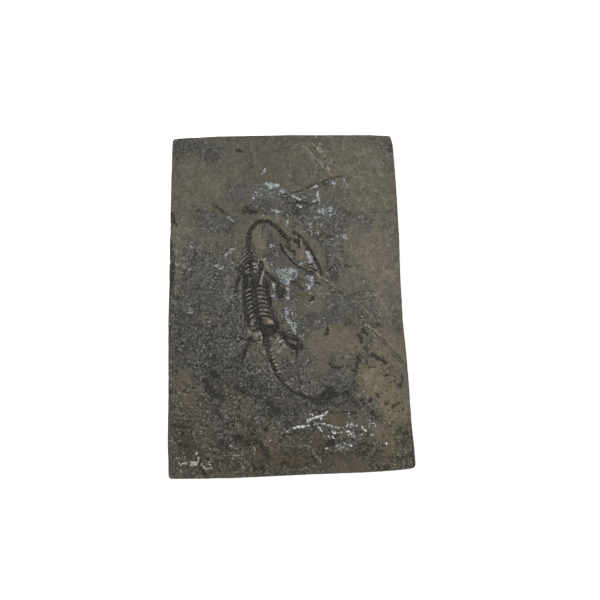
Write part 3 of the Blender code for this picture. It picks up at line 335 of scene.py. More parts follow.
# Rock showing pale between the ribs, and the other pale spots close to the bones.
PALE = [(0.6, 1.2, -5.5, -25.7, -3.6, -28.1), (0.55, 0.8, 2.7, -25.3, 2.6, -26.6),
    (0.6, 1, -2.2, -17.4, 0.3, -18.5), (0.8, 0.9, -20.6, -4.3, -18.5, -5.2),
    (0.55, 0.7, -20.3, -7.6, -17.4, -7.3), (0.6, 0.6, -18.5, -12.1, -16.4, -12.8),
    (0.9, 0.4, -19.1, 14.3, -17.4, 12.9, -16.1, 11), (0.62, 0.4, -19.2, 9, -16.8, 7.2),
    (0.66, 0.4, -19.9, 4.8, -16.7, 4), (0.72, 0.45, -18.5, 1.5, -15.7, -0.2),
    (0.6, 0.4, -18.1, -2, -15.4, -3.8), (0.9, 1, -28, -11.4, -26, -10.4, -24.1, -10),
    (0.85, 0.4, -27.9, 42.3, -25.8, 38.9), (0.85, 0.4, -27.9, 39.7, -24.9, 35.1),
    (0.85, 0.4, -27.6, 36.9, -24.5, 33.1), (0.85, 0.45, -31.6, 41.5, -34.1, 38),
    (0.9, 0.45, -31.8, 38.7, -34.4, 35.1), (0.9, 0.5, -31.5, 36.1, -34.1, 32.7),
    (1, 0.45, -30.5, 29.6, -32.2, 28.1), (1, 0.5, -29.8, 27.3, -31.8, 25.5, -32.2, 24.1),
    (0.9, 0.45, -31.3, 23.6, -28.6, 23.9), (0.9, 0.8, -26.6, 30.1, -23.8, 30.3),
    (0.9, 0.6, -26.6, 27.7, -24.4, 27.8), (0.95, 0.8, -26, 25.2, -23.8, 25.2),
    (0.8, 0.6, -25.8, 21.3, -24.6, 21.8), (0.55, 0.6, -29.4, 21, -29.3, 16.4),
    (0.6, 0.6, -27.6, 21, -27.6, 16.4), (1.3, 0.95, -19.6, 23.9, -20.6, 19.9, -22, 15.3),
    (0.9, 0.5, -18.9, 14.3, -17.5, 13, -16.7, 11.5), (1.1, 0.55, -26.5, 21.3, -24.9, 21.8),
    (0.55, 1.6, -26.2, 30.8, -24.4, 26.9, -24.1, 23.8), (0.7, 0.8, -23.3, 33.1, -23.4, 28.7, -23.4, 25.2),
    (0.6, 1.3, -18.8, 32.9, -17.4, 28.7, -15.3, 25.5), (0.6, 0.9, -36.6, 32.9, -35.9, 30.8),
    (0.66, 0.8, -30.4, -14.9, -29, -18.5), (0.72, 0.8, -22.6, -17.1, -21, -20.4, -20.9, -24.8),
    (0.55, 1.2, -25.8, -18.2, -23.4, -21), (0.5, 1.6, -6, -27.1, -8.7, -31.3),
    (0.72, 0.8, -24.8, -17.6, -23.1, -19.3, -21.7, -19), (0.68, 0.6, -24.4, -21.8, -20.9, -22.5),
    (0.66, 0.7, -23, -24.3, -21.4, -25.9), (0.7, 0.4, -30.8, -19.5, -29.7, -19.6),
    (0.7, 1, -27.6, -9.4, -25.8, -12.5), (0.75, 0.8, -17.3, -22, -14, -22.1),
    (0.72, 0.7, -8.7, -20.9, -11.4, -25.5), (0.5, 2, -13.2, -28.5, -8.5, -29.9),
    (0.6, 0.9, -3.6, -52.7, 0.3, -55.7), (0.5, 1.6, 8, -59.1, 14, -60.6),
    (0.46, 1.2, 7.6, -64.1, 11.8, -65.1), (0.95, 0.8, -14.5, -30.1, -13.6, -29.5),
    (0.95, 0.8, -14.2, -32.7, -13.1, -32.2), (0.95, 0.8, -13.5, -35.4, -12.2, -34.5),
    (0.95, 0.8, -12.5, -38, -11.1, -37.2), (0.95, 0.8, -11.7, -40.5, -10.3, -39.7),
    (0.9, 0.8, -10.7, -43, -9.3, -42.2), (0.9, 0.8, -9.6, -45.5, -8.2, -44.7),
    (0.8, 0.7, -19.2, -30.9, -18.4, -32.3), (0.8, 0.6, -16.4, -38.7, -15.2, -40.2),
    (0.7, 0.6, -14.7, -42.9, -13.2, -45.7), (0.85, 0.5, 2.3, 49.9, 3.9, 48.5),
    (0.8, 0.8, 6.3, 47.6, 7, 44.4), (0.6, 0.6, -4.6, 40.9, -3.4, 39.3), (0.7, 0.5, 9.9, 29.4, 12.2, 30.6),
    (0.95, 0.45, 9.7, 27.4, 13.6, 28.7, 16.8, 27), (0.95, 0.45, 9.8, 25.3, 12.5, 26.6, 15.7, 25.6),
    (0.9, 0.45, 9.2, 24.1, 10.6, 24.9), (0.6, 1.1, 15.4, 30.6, 17.3, 27.7)]
# Cream and white chips.
CREAM = [(1.6, 0.8, -16.4, -9.4, -15.6, -10.8), (1.6, 0.65, -15.7, -10.8, -13.9, -10.5),
    (1.5, 0.35, -13.9, -10.5, -12, -11), (0.8, 0.55, -80.2, -104.8, -78.1, -105.5),
    (0.82, 0.6, -77.1, -109.9, -73.6, -108.7, -69.4, -108.3, -65.2, -108),
    (0.9, 0.9, -70.8, -110.3, -66.6, -109.9), (0.7, 0.8, -61.8, -111.5, -59, -113.2, -55.5, -112.6),
    (1, 0.35, -66.6, -101.1, -66.4, -103.2), (0.95, 0.4, -65.5, -104.6, -64.5, -107.6),
    (0.9, 0.5, -62.7, -109.4, -61.8, -112.2), (0.66, 0.45, 15, -100, 17.8, -104.2, 21.2, -108.7),
    (0.55, 0.7, 16.4, 119, 17.1, 117.9), (0.6, 0.8, 18.8, 114.1, 19.9, 113.1),
    (0.55, 1, 19.2, 108.9, 21.9, 107.5), (0.9, 0.6, 25.1, 98.1, 26.1, 95.6),
    (0.5, 1.6, 17.8, 111, 22.6, 105.4), (0.85, 0.6, 53.6, -12.9, 57.2, -15.3),
    (0.85, 0.6, 58.5, -15.6, 62, -19.7), (0.62, 0.5, 47.5, -3.7, 49.6, -7.2),
    (0.5, 0.5, 50.5, 3.6, 58.9, 7.7), (0.5, 0.4, 68.7, -27.1, 75, -34.1),
    (0.5, 0.5, 21.2, 20.3, 25.4, 17.9, 29.6, 14.7), (0.6, 1.2, 17.1, 23.8, 19.2, 21),
    (0.42, 1.2, -54.8, -7.6, -58.3, -10.4), (0.75, 0.45, -78.5, -108, -76.4, -111.5, -77.8, -115.7),
    (0.7, 0.5, -59, -108, -55.5, -110.1), (0.55, 0.5, -49.2, -104.3, -41.5, -103.2, -31.8, -103.4),
    (0.5, 0.6, 19.9, 112.4, 20.5, 109.6), (0.5, 0.5, -75.7, 27.6, -72.2, 27.3)]
# Flat brown places where a flake came away.
BROWN = [(0.95, 3, 1, 18.2, 5.2, 21.7, 8, 21.7), (0.9, 2.4, 6.6, 9.8, 10.8, 7.7),
    (1.05, 2.4, 25.8, -76.5, 35.6, -76.4), (1.05, 2.4, 25.4, -80.6, 34.9, -80.6),
    (0.7, 2.6, 17.1, -88.5, 19.2, -95.5), (0.6, 2.5, 4.5, 71.9, 8.7, 69.8),
    (0.45, 2.4, -17.8, -81.5, -15, -89.9), (0.34, 5, 21.2, 81.7, 26.8, 76.8),
    (0.45, 6, -20.6, -103.2, 5.9, -106.6)]
# Ground where the rock is densely flecked grey and black.
MOTTLED = [(0.9, 18, -66.6, 31.5, -69.4, 5, -61.1, -22.9, -54.1, -52.2),
    (0.85, 13, -40.1, -16, -41.5, -40.4, -31.1, -61.3), (0.8, 9, -45.7, 25.9, -41.5, 5),
    (0.75, 12, -5.3, -49.5, 14.3, -63.4, 38, -56.4), (0.66, 8.5, 26.8, 42.6, 31, 31.5, 26.8, 21.7),
    (0.75, 4.5, 49.1, 58, 52.6, 56.6), (0.72, 14, -70.8, -78.7, -42.9, -70.4, -13.6, -77.4, 14.3, -92.7),
    (0.62, 13, -63.8, -103.2, -20.6, -99.7, 12.9, -105.3), (0.8, 6.5, 25.4, 5, 39.4, 2.2),
    (0.72, 6, 5.9, -20.2, 8.7, -35.5, 5.9, -45.3), (0.66, 6.5, -61.1, 62.1, -48.5, 57.3),
    (0.6, 6.5, -75, 111.7, -56.9, 105.4), (0.6, 6, 37.3, -96.9, 56.1, -101.1),
    (0.55, 5, 55.4, -63.4, 60.3, -76), (0.66, 6, -1.1, 71.2, 18.5, 67.7, 32.4, 61.4),
    (0.6, 3.4, -16.4, 53.8, -15.3, 44, -13.6, 31.5), (0.3, 4, 52.6, 7, 61.7, -3.4),
    (0.46, 5, -2.5, 5, 1.7, -7.6, 5.9, -16), (0.6, 5, 18.5, -7.6, 38, -10.4),
    (0.5, 7, 77, -84.3, 81.2, -99.7), (0.5, 6, -38.7, 74.7, -24.8, 76.1),
    (0.7, 6, -61.8, 63.5, -52.7, 60.8, -45.7, 59.4), (0.55, 4.5, -66.6, 52.4, -64.5, 42.6, -66.6, 31.5),
    (0.6, 5, -31.8, 70.5, -20.6, 70.5), (0.6, 4, 5.9, 55.2, 17.1, 49.6, 22.6, 39.8),
    (0.22, 6, 51.9, -16, 56.1, -24.3, 50.5, -32.7), (0.3, 5, 70.1, -17.4, 68.7, -27.1)]
# Ground that keeps its smooth tan coat.
SMOOTH = [(0.4, 3.2, -42.2, 25.9, -41.8, 17.5), (0.5, 1.5, -35.1, 18.2, -36.4, 9.1),
    (0.9, 3.4, -1.1, 47.5, -6, 52.4, -11.5, 58, -17.8, 61.4, -24.1, 59.4, -29, 53.1, -31.1, 44.7),
    (0.95, 3, -4.6, 41.2, 0.3, 35.6, 6.6, 32.2, 8.7, 37.7, 5.9, 44.7),
    (0.95, 16, -65.2, 87.3, -44.3, 81.7), (0.8, 14, -29, 102.6, 0.3, 108.2),
    (0.7, 14, 37.3, 106.1, 58.2, 81.7), (0.6, 9, -73.6, 52.4, -59.7, 42.6),
    (0.95, 10, 56.1, 46.8, 65.2, 31.5, 70.1, 10.5), (0.85, 6.5, 43.6, 49.6, 41.5, 31.5, 40.8, 16.1),
    (0.95, 7.5, 15, -26.4, 26.8, -22.9, 40.8, -21.6), (0.6, 5, 14.3, 1.5, 21.2, -2),
    (0.95, 9.5, 67.3, -26.4, 68.7, -49.5, 73.6, -68.3), (0.7, 6, 49.1, -50.8, 56.1, -45.3),
    (0.95, 3, 7.3, 54.5, 12.9, 46.8, 19.2, 34.2, 22.6, 24.5),
    (0.9, 2.3, -11.5, 55.2, -6.7, 48.9, -3.9, 44.7), (0.92, 2.6, -24.1, 55.2, -24.8, 48.2, -22.7, 41.2),
    (0.85, 3, 5.2, 46.8, 5.9, 39.8, 7.3, 35.6), (0.8, 2.2, -35.9, 55.2, -31.8, 62.1, -24.8, 66.3),
    (0.8, 2.2, -11.5, 64.9, -3.9, 56.6), (0.62, 1.6, -13.6, -46, -8, -53.6, -1.1, -58.5),
    (0.62, 1.6, -10.1, -41.1, -3.9, -48.8, 4.5, -55.7), (0.62, 2, -16.4, -25, -14.3, -31.3),
    (0.5, 6, -63.8, -9, -58.3, -7.6), (0.3, 5, -17.8, -80.1, -15, -91.3),
    (0.26, 5, -73.6, -55, -66.6, -64.8), (0.5, 4, 21.9, 23.1, 31, 14), (0.7, 5, 23.3, 16.1, 21.2, 6.3),
    (0.6, 4, -56.9, 49.6, -45.7, 46.8), (0.7, 3.4, -77.8, 56.6, -77.8, 31.5, -79.2, 11.9),
    (0.6, 4, 18.5, -32.7, 21.2, -41.1), (0.75, 5, 49.1, -59.2, 60.3, -55, 68.7, -62),
    (0.7, 2.6, -18.5, 58, -17.8, 62.1), (0.6, 6, 61.7, -85.7, 70.8, -96.9),
    (0.8, 4, -3.9, 84.5, 5.9, 86.6, 19.9, 93.5), (0.36, 4, -73.6, -49.5, -67.3, -55),
    (0.26, 5, -76.4, -64.8, -69.4, -73.2, -65.2, -80.1), (0.44, 3.4, -31.8, -64.8, -31.1, -78.7),
    (0.46, 4, -17.8, -89.9, -12.2, -96.9), (0.6, 3, 3.1, 40.5, 5.9, 35.6),
    (0.8, 2.4, -24.8, 31.5, -23.4, 24.5), (0.8, 2.4, -18.5, 31.5, -16.4, 27.3),
    (0.6, 3, -27.6, -18.8, -22, -22.9)]
# Lighter and darker ground, apart from its texture: partly the rock's own tone, and partly painted light
# and shade that make the ground darker towards the lower left and the bottom and lighter towards the
# right.
LIGHTER_AND_LIT = [(0.95, 4, -42.6, 27.3, -41.9, 18.9, -43.6, 7), (0.8, 1.6, -35, 18.2, -36.2, 13.3, -36.9, 7.7),
    (0.74, 2.6, -1.1, 47.5, -6, 52.4, -11.5, 58, -17.8, 61.4, -24.1, 59.4, -29, 53.1, -31.1, 44.7),
    (0.75, 3.2, -4.6, 41.2, 0.3, 35.6, 5.9, 34.2, 8.7, 39.1, 5.2, 44.7), (0.78, 16, 51.9, 42.6, 70.1, 5),
    (0.32, 12, 18.5, -26.4, 47.8, -26.4), (0.58, 14, 54.7, -26.4, 68.7, -31.3, 71.5, -64.8),
    (0.98, 5, -24.8, 55.2, -23.4, 44), (0.55, 5, 5.9, 56.6, 21.2, 27.3),
    (0.18, 16, -63.8, 81.7, -46.4, 84.5), (0.4, 3, -10.8, 63.5, -2.5, 49.6),
    (0.3, 9, 12.9, 7.7, 26.8, 10.5), (0.76, 8, 56.1, -45.3, 61.7, -59.2, 70.1, -70.4),
    (0.35, 9, 32.4, 56.6, 33.8, 37), (0.3, 12, 10.1, -50.8, 33.8, -52.2),
    (0.3, 5, -77.8, 56.6, -77.8, 31.5), (0.28, 14, 42.2, 109.6, 65.2, 77.5),
    (0.34, 6, -75, -48.1, -66.6, -57.8), (0.24, 7, -79.2, -64.8, -68, -74.6),
    (0.3, 4, -31.8, -64.8, -31.1, -80.1), (0.4, 5, -18.5, -88.5, -11.5, -96.9),
    (0.3, 5, -66.6, -84.3, -61.1, -92.7), (0.3, 7, -47.1, -70.4, -38.7, -77.4),
    (0.28, 3, -16.4, -82.9, -12.2, -96.9), (0.2, 7, -69.4, -68.3, -63.8, -76),
    (0.3, 6, 61.7, -84.3, 71.5, -98.3), (0.5, 2.6, 5.9, 39.8, 7.3, 35.6),
    (0.4, 2, -24.8, 56.6, -26.2, 48.2, -23.4, 42.6), (0.6, 2.4, -24.8, 31.5, -23.4, 24.5),
    (0.6, 2.4, -19.2, 32.9, -15.7, 25.9), (0.24, 3, -27.6, -18.8, -22, -22.9),
    (0.34, 16, 40.8, 99.1, 61.7, 46.8, 70.1, 5)]
DEEPER_AND_SHADED = [(0.66, 20, -77.8, -26.4, -76.4, -64.8, -70.8, -106.6),
    (0.58, 16, -56.9, -110.1, 5.9, -110.1, 68.7, -105.3), (0.5, 14, -39.4, -54.3, -35.9, -78.7),
    (0.8, 7, -58.3, -45.3, -52.7, -57.8, -48.5, -66.2),
    (0.8, 6, -26.2, -53.6, -17.8, -64.8, -12.2, -74.6), (0.85, 5, -38.7, -89.9, -30.4, -95.5),
    (0.85, 5, -23.4, -92.7, -16.4, -103.9), (0.85, 4, -82, -81.5, -75, -84.3),
    (0.8, 4, -77.8, -95.5, -72.2, -98.3), (0.8, 4, -84.8, -45.3, -83.4, -62),
    (0.75, 5, -59.7, -84.3, -47.1, -95.5), (0.4, 8, -70.8, -26.4, -47.1, -31.3),
    (0.4, 9, -52.7, -41.1, -33.2, -45.3), (0.35, 9, -77.8, 112.4, -60.4, 106.8),
    (0.45, 7, -61.1, 62.1, -48.5, 56.6), (0.2, 6, 5.9, -64.8, 40.8, -66.2),
    (0.4, 6, 79.1, -82.2, 82.6, -103.2), (0.35, 5, -20.6, 71.9, 5.9, 69.1),
    (0.2, 26, -66.6, 102.6, -42.9, 88.7, -1.1, 109.6), (0.4, 5, 74.3, 5, 75.7, -16),
    (0.6, 11, -29, -92.7, -4.6, -96.9, 26.8, -103.9), (0.4, 5, 78.4, -84.3, 81.9, -101.1),
    (0.35, 8, -59.7, -53.6, -44.3, -63.4), (0.35, 7, -12.2, -67.6, -1.1, -81.5),
    (0.35, 8, -55.5, -85.7, -23.4, -91.3), (0.35, 5, -82, -77.4, -76.4, -92.7),
    (0.3, 7, 47.8, -96.9, 64.5, -105.3)]
# Ground with a warmer, ochre coat.
OCHRE = [(1, 9, 53.3, -42.5, 61.7, -55, 68.7, -67.6, 77, -78.7), (0.7, 5, 72.9, -82.9, 78.4, -96.9),
    (0.45, 12, 26.8, -26.4, 47.8, -22.9, 65.9, -26.4), (0.36, 6, -75, -49.5, -67.3, -56.4),
    (0.3, 6, -75, -66.2, -65.2, -78.7), (0.45, 4, -19.2, -87.1, -10.8, -96.9),
    (0.35, 4, -32.5, -64.8, -30.4, -78.7), (0.35, 10, -25.5, -106.6, 5.9, -108),
    (0.4, 8, -66.6, -92.7, -58.3, -108), (0.7, 7, 63.1, -87.1, 74.3, -105.3)]
# Ground whose dirt is browner than elsewhere.
WARMER = [(0.55, 16, -79.2, -68.3, -70.8, -106.6), (0.5, 16, -56.9, -110.1, 5.9, -110.1, 68.7, -105.3),
    (0.4, 12, -41.5, -64.8, -35.9, -85.7), (0.6, 11, -29, -92.7, -4.6, -96.9, 26.8, -103.9),
    (0.8, 3.4, -76.4, -85.7, -69.4, -89.9), (0.8, 3, -66.6, -98.3, -59.7, -101.8),
    (0.4, 5, 79.1, -82.2, 82.6, -103.2)]
# Smooth grey clouds, without flecks.
SMOKE = [(0.85, 5, -79.2, 111, -63.8, 113.1, -48.5, 108.9), (0.7, 3, -60.4, 102.6, -51.3, 104),
    (0.62, 2.6, -42.9, 117.2, 5.9, 117.5, 65.9, 116.6), (0.6, 3, -30.4, 113.1, -29, 102.6, -27.6, 91.4),
    (0.85, 4, -43.6, 87.3, -37.3, 81.7, -31.8, 84.5), (0.9, 4, -41.5, 76.1, -34.6, 74, -27.6, 69.8),
    (0.85, 4, -62.5, 63.5, -52.7, 59.4, -41.5, 60.8), (0.6, 4, -63.8, 52.4, -66.6, 42.6, -63.8, 34.2),
    (0.8, 6, -51.3, 31.5, -61.1, 24.5, -72.2, 17.5), (0.6, 8, -66.6, 11.9, -55.5, 5, -45.7, 16.1),
    (0.9, 2.4, -16.4, 55.2, -15, 44, -12.9, 31.5), (0.7, 4, -7.4, 35.6, -1.1, 30.1),
    (0.6, 4, -6.7, 31.5, -12.2, 28.7, -1.1, 28.7),
    (0.66, 4.4, 40.8, 59.4, 49.8, 58, 53.3, 54.5, 45, 49.6), (0.5, 5, 26.8, 46.8, 31, 35.6, 26.8, 24.5),
    (0.85, 3, 56.5, -1.3, 58.2, -6.2), (0.75, 3.6, 67.3, 11.9, 70.1, 2.2), (0.8, 3, 71.5, -9, 75, -16),
    (0.85, 4.4, 14.3, -6.2, 24, -9, 33.8, -7.6), (0.75, 4, 25.4, 5, 35.2, 0.8),
    (0.75, 2.6, 50.5, -26.4, 51.9, -31.3), (0.5, 5, 42.2, 31.5, 36.6, 25.9),
    (0.7, 2.8, 56.1, -63.4, 60.3, -67.6), (0.7, 4, 47.8, -92.7, 40.8, -96.9),
    (0.3, 7, 5.9, -52.2, 21.2, -48.1, 33.8, -49.5), (0.6, 3, 7.3, -34.1, 14.3, -38.3),
    (0.5, 6, -75, -16, -66.6, -25.7, -69.4, -36.9), (0.6, 4, 77, -92.7, 81.2, -101.1),
    (0.5, 5, -20.6, 74.7, -1.1, 71.9, 26.8, 64.9), (0.45, 5, 61.7, 113.1, 64.5, 99.1)]
# How thickly small black dots are strewn.
DOTTED = [(0.6, 9, 64.5, -42.5, 70.1, -64.8, 74.3, -87.1),
    (0.55, 14, -74.3, 5, -60.4, -29.9, -42.9, -50.8), (0.55, 14, -22, -64.8, 19.9, -64.8),
    (0.35, 9, 44.3, -26.4, 56.1, -38.3), (0.45, 16, -63.8, -92.7, 5.9, -99.7),
    (0.5, 8, 26.8, 39.8, 33.8, 28.7)]
# Where fine pale veins cross the tan ground.
VEINED = [(1, 22, 42.2, 104, 60.3, 84.5), (0.8, 16, 10.1, 111, 21.2, 97), (0.7, 18, 58.9, 46.8, 67.3, 5),
    (0.5, 20, -66.6, 95.6, -42.9, 81.7), (0.45, 12, -73.6, 56.6, -75, 31.5),
    (0.6, 12, 26.8, -24.3, 64.5, -26.4), (0.55, 10, 56.1, -48.1, 71.5, -71.8),
    (0.4, 16, -70.8, -50.8, -63.8, -99.7)]
# Fine pale scratches and veins: how strong, and x and y of each point on their way.
SCRATCHES = [(1, 8, 112.4, 11.5, 109.6, 16.4, 104, 22.6, 97, 28.9, 90.7),
    (0.89, 13.6, 114.5, 21.2, 109.6, 27.5, 108.2), (0.94, 35.9, 112.4, 36.2, 116.2, 38.3, 118.3),
    (0.84, 47.8, 111.7, 51.9, 106.8, 56.1, 101.2), (0.84, 59.6, 94.9, 63.1, 92.1),
    (0.74, 27.5, 101.2, 34.5, 96.3, 40.1, 97), (0.81, 42.2, 109.6, 47.1, 104, 46.4, 97),
    (0.89, 10.8, 110.3, 15, 102.6, 17.8, 97, 15.7, 90.7), (0.81, -0.4, 109.6, 3.8, 113.1, 8.7, 111.7),
    (0.81, 19.2, 102.6, 23.3, 98.4, 26.8, 94.2), (0.81, 42.9, 98.4, 47.8, 94.2, 52.6, 94.9, 56.8, 92.1),
    (0.74, 45.7, 91.4, 50.5, 88.7, 49.1, 83.1), (0.74, 57.5, 104, 61, 99.1, 60.3, 92.8),
    (0.68, 34.5, 84.5, 40.8, 81, 45, 74.7), (0.68, 56.8, 81.7, 63.1, 77.5, 65.2, 71.2),
    (0.68, -52.7, 88.7, -50.6, 82.4, -52.7, 76.8), (0.74, 51.2, 80.3, 54, 74.7, 53.3, 68.4),
    (0.68, 64.5, 55.2, 67.3, 46.8, 65.9, 39.1), (0.68, 34.5, 16.8, 40.1, 10.5),
    (0.61, 50.5, -0.6, 58.9, -10.4), (0.61, -62.5, 1.5, -61.1, -10.4),
    (0.74, -41.5, -103.2, -32.5, -106.6), (0.81, -72.9, 55.2, -70.1, 51, -68.7, 48.9),
    (0.68, -71.5, 54.5, -60.4, 54.8), (0.84, 14.3, -99.7, 20.5, -108), (0.68, -4.6, -96.9, 17.1, -97.2),
    (0.68, 70.1, -99, 84, -99), (0.8, 42.2, 5, 49.1, 7, 58.2, 8.4, 63.8, 2.9, 67.3, -4.8),
    (0.75, 49.8, 11.2, 56.1, 9.4, 63.1, 10.3), (0.7, 53.3, 17.5, 56.8, 12.6, 60.3, 11.2),
    (0.66, 40.1, 2.2, 45.7, 3.6, 50.5, -0.6), (0.6, 51.9, 5, 56.1, -0.6, 61.7, -6.2),
    (0.66, 17.8, 98.4, 19.9, 104, 22.6, 108.2), (0.6, 31, 108.2, 37.3, 104, 40.8, 98.4),
    (0.6, 38.7, 94.2, 45.7, 90, 51.9, 90.7), (0.55, 50.5, 111, 55.4, 109.6, 58.9, 104.7),
    (0.55, 29.6, 77.5, 33.8, 71.9, 40.8, 70.5), (0.55, 45.7, 71.9, 49.8, 66.3, 56.1, 64.9),
    (0.55, 57.5, 53.8, 61.7, 49.6, 62.4, 42.6), (0.5, 47.8, 34.2, 51.9, 28.7, 56.1, 27.3),
    (0.5, -59.7, 91.4, -55.5, 85.9, -54.1, 81.7), (0.55, -56.2, 83.1, -52, 87.3, -45.7, 88.7),
    (0.45, -73.6, 97, -66.6, 99.8, -59.7, 95.6), (0.5, 42.2, -41.1, 47.8, -44.6, 54.7, -43.9),
    (0.5, 31, -23.6, 38, -27.1, 45, -26.4),
    (1.1, 19.6, 21.4, 22.6, 19.3, 25.4, 17.8, 28.2, 15.8, 31, 13.3),
    (0.7, 18.5, 9.3, 26.1, 9.1, 34.5, 8.2), (0.8, 34.9, 90.3, 37, 88, 39.1, 85.4),
    (0.6, -80.3, 42.6, -80, 31.5, -80.4, 18.9, -80.9, 7)]

# The skeleton's routes, close to those of the CAD source. Widths are read evenly along a route.
NECK_ARCH = [(-1.6, 46.5), (-3.6, 48.5), (-5.8, 50.6), (-7.9, 52.9), (-10, 55.2), (-12.2, 57),
    (-14.7, 58.8), (-17.5, 60), (-20.6, 60.1), (-24.2, 58.9), (-27.6, 55.5), (-29.5, 51.7), (-30.1, 47.8)]
NECK_ARCH_WIDTHS = [3, 2.9, 3, 3, 2.8, 2.4, 2.2, 2.6, 3.3, 4.1]
NECK_BASE = [(-30, 49.2), (-30.2, 44.7), (-30, 40.5), (-29.7, 35.6), (-29.1, 32.2), (-28.4, 28),
    (-27.6, 22.7)]
NECK_BASE_WIDTHS = [4.6, 4, 2.6, 2.7, 2.9, 2.8, 2.6]
NECK_PITCH = 2.15  # from one vertebra to the next
# The neck's short ribs: their ends and their widths.
NECK_RIBS = [([(-3.2, 45), (-0.2, 47.8)], [1.2, 1.5, 1.1]),
    ([(-28.6, 45.4), (-25.6, 40.8)], [0.9, 0.75, 0.5]),
    ([(-28.6, 42.5), (-24.5, 36.5)], [0.9, 0.75, 0.6]), ([(-28.7, 39.5), (-23.8, 33)], [0.9, 0.8, 1.3]),
    ([(-28.6, 36.3), (-25.3, 32.2)], [1, 0.85, 0.9]), ([(-28.3, 32), (-24, 31.5)], [1.5, 1.7, 1.3]),
    ([(-30.9, 43.5), (-34.4, 39.1)], [1, 0.9, 0.6]), ([(-30.9, 40.8), (-35, 35.6)], [1, 0.95, 0.6]),
    ([(-30.9, 38.2), (-34.6, 32.9)], [1, 1, 0.8]), ([(-30.6, 35.2), (-34.1, 30.8)], [1.1, 1.1, 1]),
    ([(-29.5, 31.7), (-32.9, 28.7)], [1.1, 1, 0.8]), ([(-29.1, 28.8), (-32.7, 25.7)], [1.1, 1, 0.8]),
    ([(-27.3, 28.8), (-24.9, 28.7)], [1, 0.8, 0.6]), ([(-27.2, 26.6), (-24.1, 26.2)], [1.1, 0.9, 1]),
    ([(-29.5, 23.1), (-27.3, 22.9), (-25, 23.3)], [1.3, 1.9, 1.3])]
BACK_ROUTE = [(-27.3, 21.8), (-26.8, 15.9), (-25.9, 4.7), (-24.8, -3.7), (-22.6, -10.2)]
BACK_WIDTHS = [2.9, 3.1, 3.1, 3.1, 3.3]
BACK_PITCH = 2.95
FIRST_RIB_Y = 14.2
RIB_PAIRS = 8
# A rib's route, out of the backbone and down along the flank.
RIB_START = 0.8  # how far from the backbone's middle line it starts
RIB_BEND = 0.45  # the share of its way out at which it has risen
RIB_SHOULDER = 1.5  # how far inside the flank it turns down
RIB_TURN = 2.2  # how far down it gets while it turns
RIB_WAY, RIB_LENGTH = 3.2, 7.0  # how far down it meets the flank, and ends
RIB_CLEAR = 0.1  # how far above the flank's end the last ribs end
RIB_RISE = {1: 0.5, -1: -0.3}  # on the right and on the left
RIB_FALL = {1: 1.2, -1: 2.3}
RIB_WIDTHS = {1: [1.6, 1.5, 1.6, 1.7, 1.1], -1: [1.45, 1.35, 1.4, 1.6, 1.1]}
# How clearly rock shows below each rib, from the first rib down, on the right and on the left.
RIB_GAPS = {1: [1.1, 0.85, 1.05, 0.9, 0.75, 0.9, 0.8, 0.5],
            -1: [0.8, 0.95, 1.05, 0.75, 0.9, 1.05, 1.0, 0.8]}
GAP_STRENGTH, GAP_HALF = 1.15, 0.44
GAP_POINTS, GAP_SPAN = 13, slice(2, 8)  # the part of a rib's way out along which a gap shows
RIGHT_FLANK = [(-16.8, 13.6), (-15.1, 8.2), (-14.2, 2.6), (-12.8, -4), (-11.7, -10.6)]
LEFT_FLANK = [(-33.9, 15.2), (-33.7, 8.2), (-33.4, 1.2), (-31.9, -3.7), (-30.6, -10.6)]
FLANK_WIDTHS = [1.5, 2.1, 2.2, 2.3, 1.8]
FLANK_NUDGE = 0.3  # how far inside its line a flank lies
RIB_HIGH, RIB_STEP = 0.62, 0.015  # the first ribs' half-height, and what each next pair has more
HIP_ROUTE = [(-20.6, -12.9), (-18.6, -18.6), (-17.2, -23.4), (-16.9, -26.8)]
HIP_WIDTHS = [3.6, 3.4, 3.9, 3.2]
TAIL_ROUTE = [(-16.9, -26.2), (-16.6, -29.9), (-15.9, -33.1), (-14.7, -36.6), (-13.2, -40.4),
    (-11.6, -44.3), (-9.7, -48.2), (-7.4, -51.5), (-4.8, -54.3), (-1.9, -56.8), (1.4, -59.2), (7.6, -62),
    (13.7, -63.5), (21.5, -64), (28.2, -62.8), (32.7, -61.4), (38.3, -58.9), (43.3, -56.3)]
TAIL_WIDTHS = [3, 2.6, 2.5, 2.2, 2, 1.8, 1.6, 1.3, 1.2, 1.2, 1.3, 0.9, 0.6, 0.5]
TAIL_PITCH = 2.5
# The spurs on the tail's outer side: where each starts and ends.
TAIL_SPURS = [[(-15.4, -31.6), (-13.1, -31)], [(-15, -34.2), (-12.5, -33.3)],
    [(-14.2, -36.9), (-11.4, -35.6)], [(-13.4, -39.4), (-10.3, -38.4)], [(-12.5, -41.9), (-9.4, -41)],
    [(-11.4, -44.4), (-8.5, -43.5)], [(-10.1, -46.9), (-7.5, -46)]]
SPUR_WIDTHS = [1.0, 0.8, 0.55]
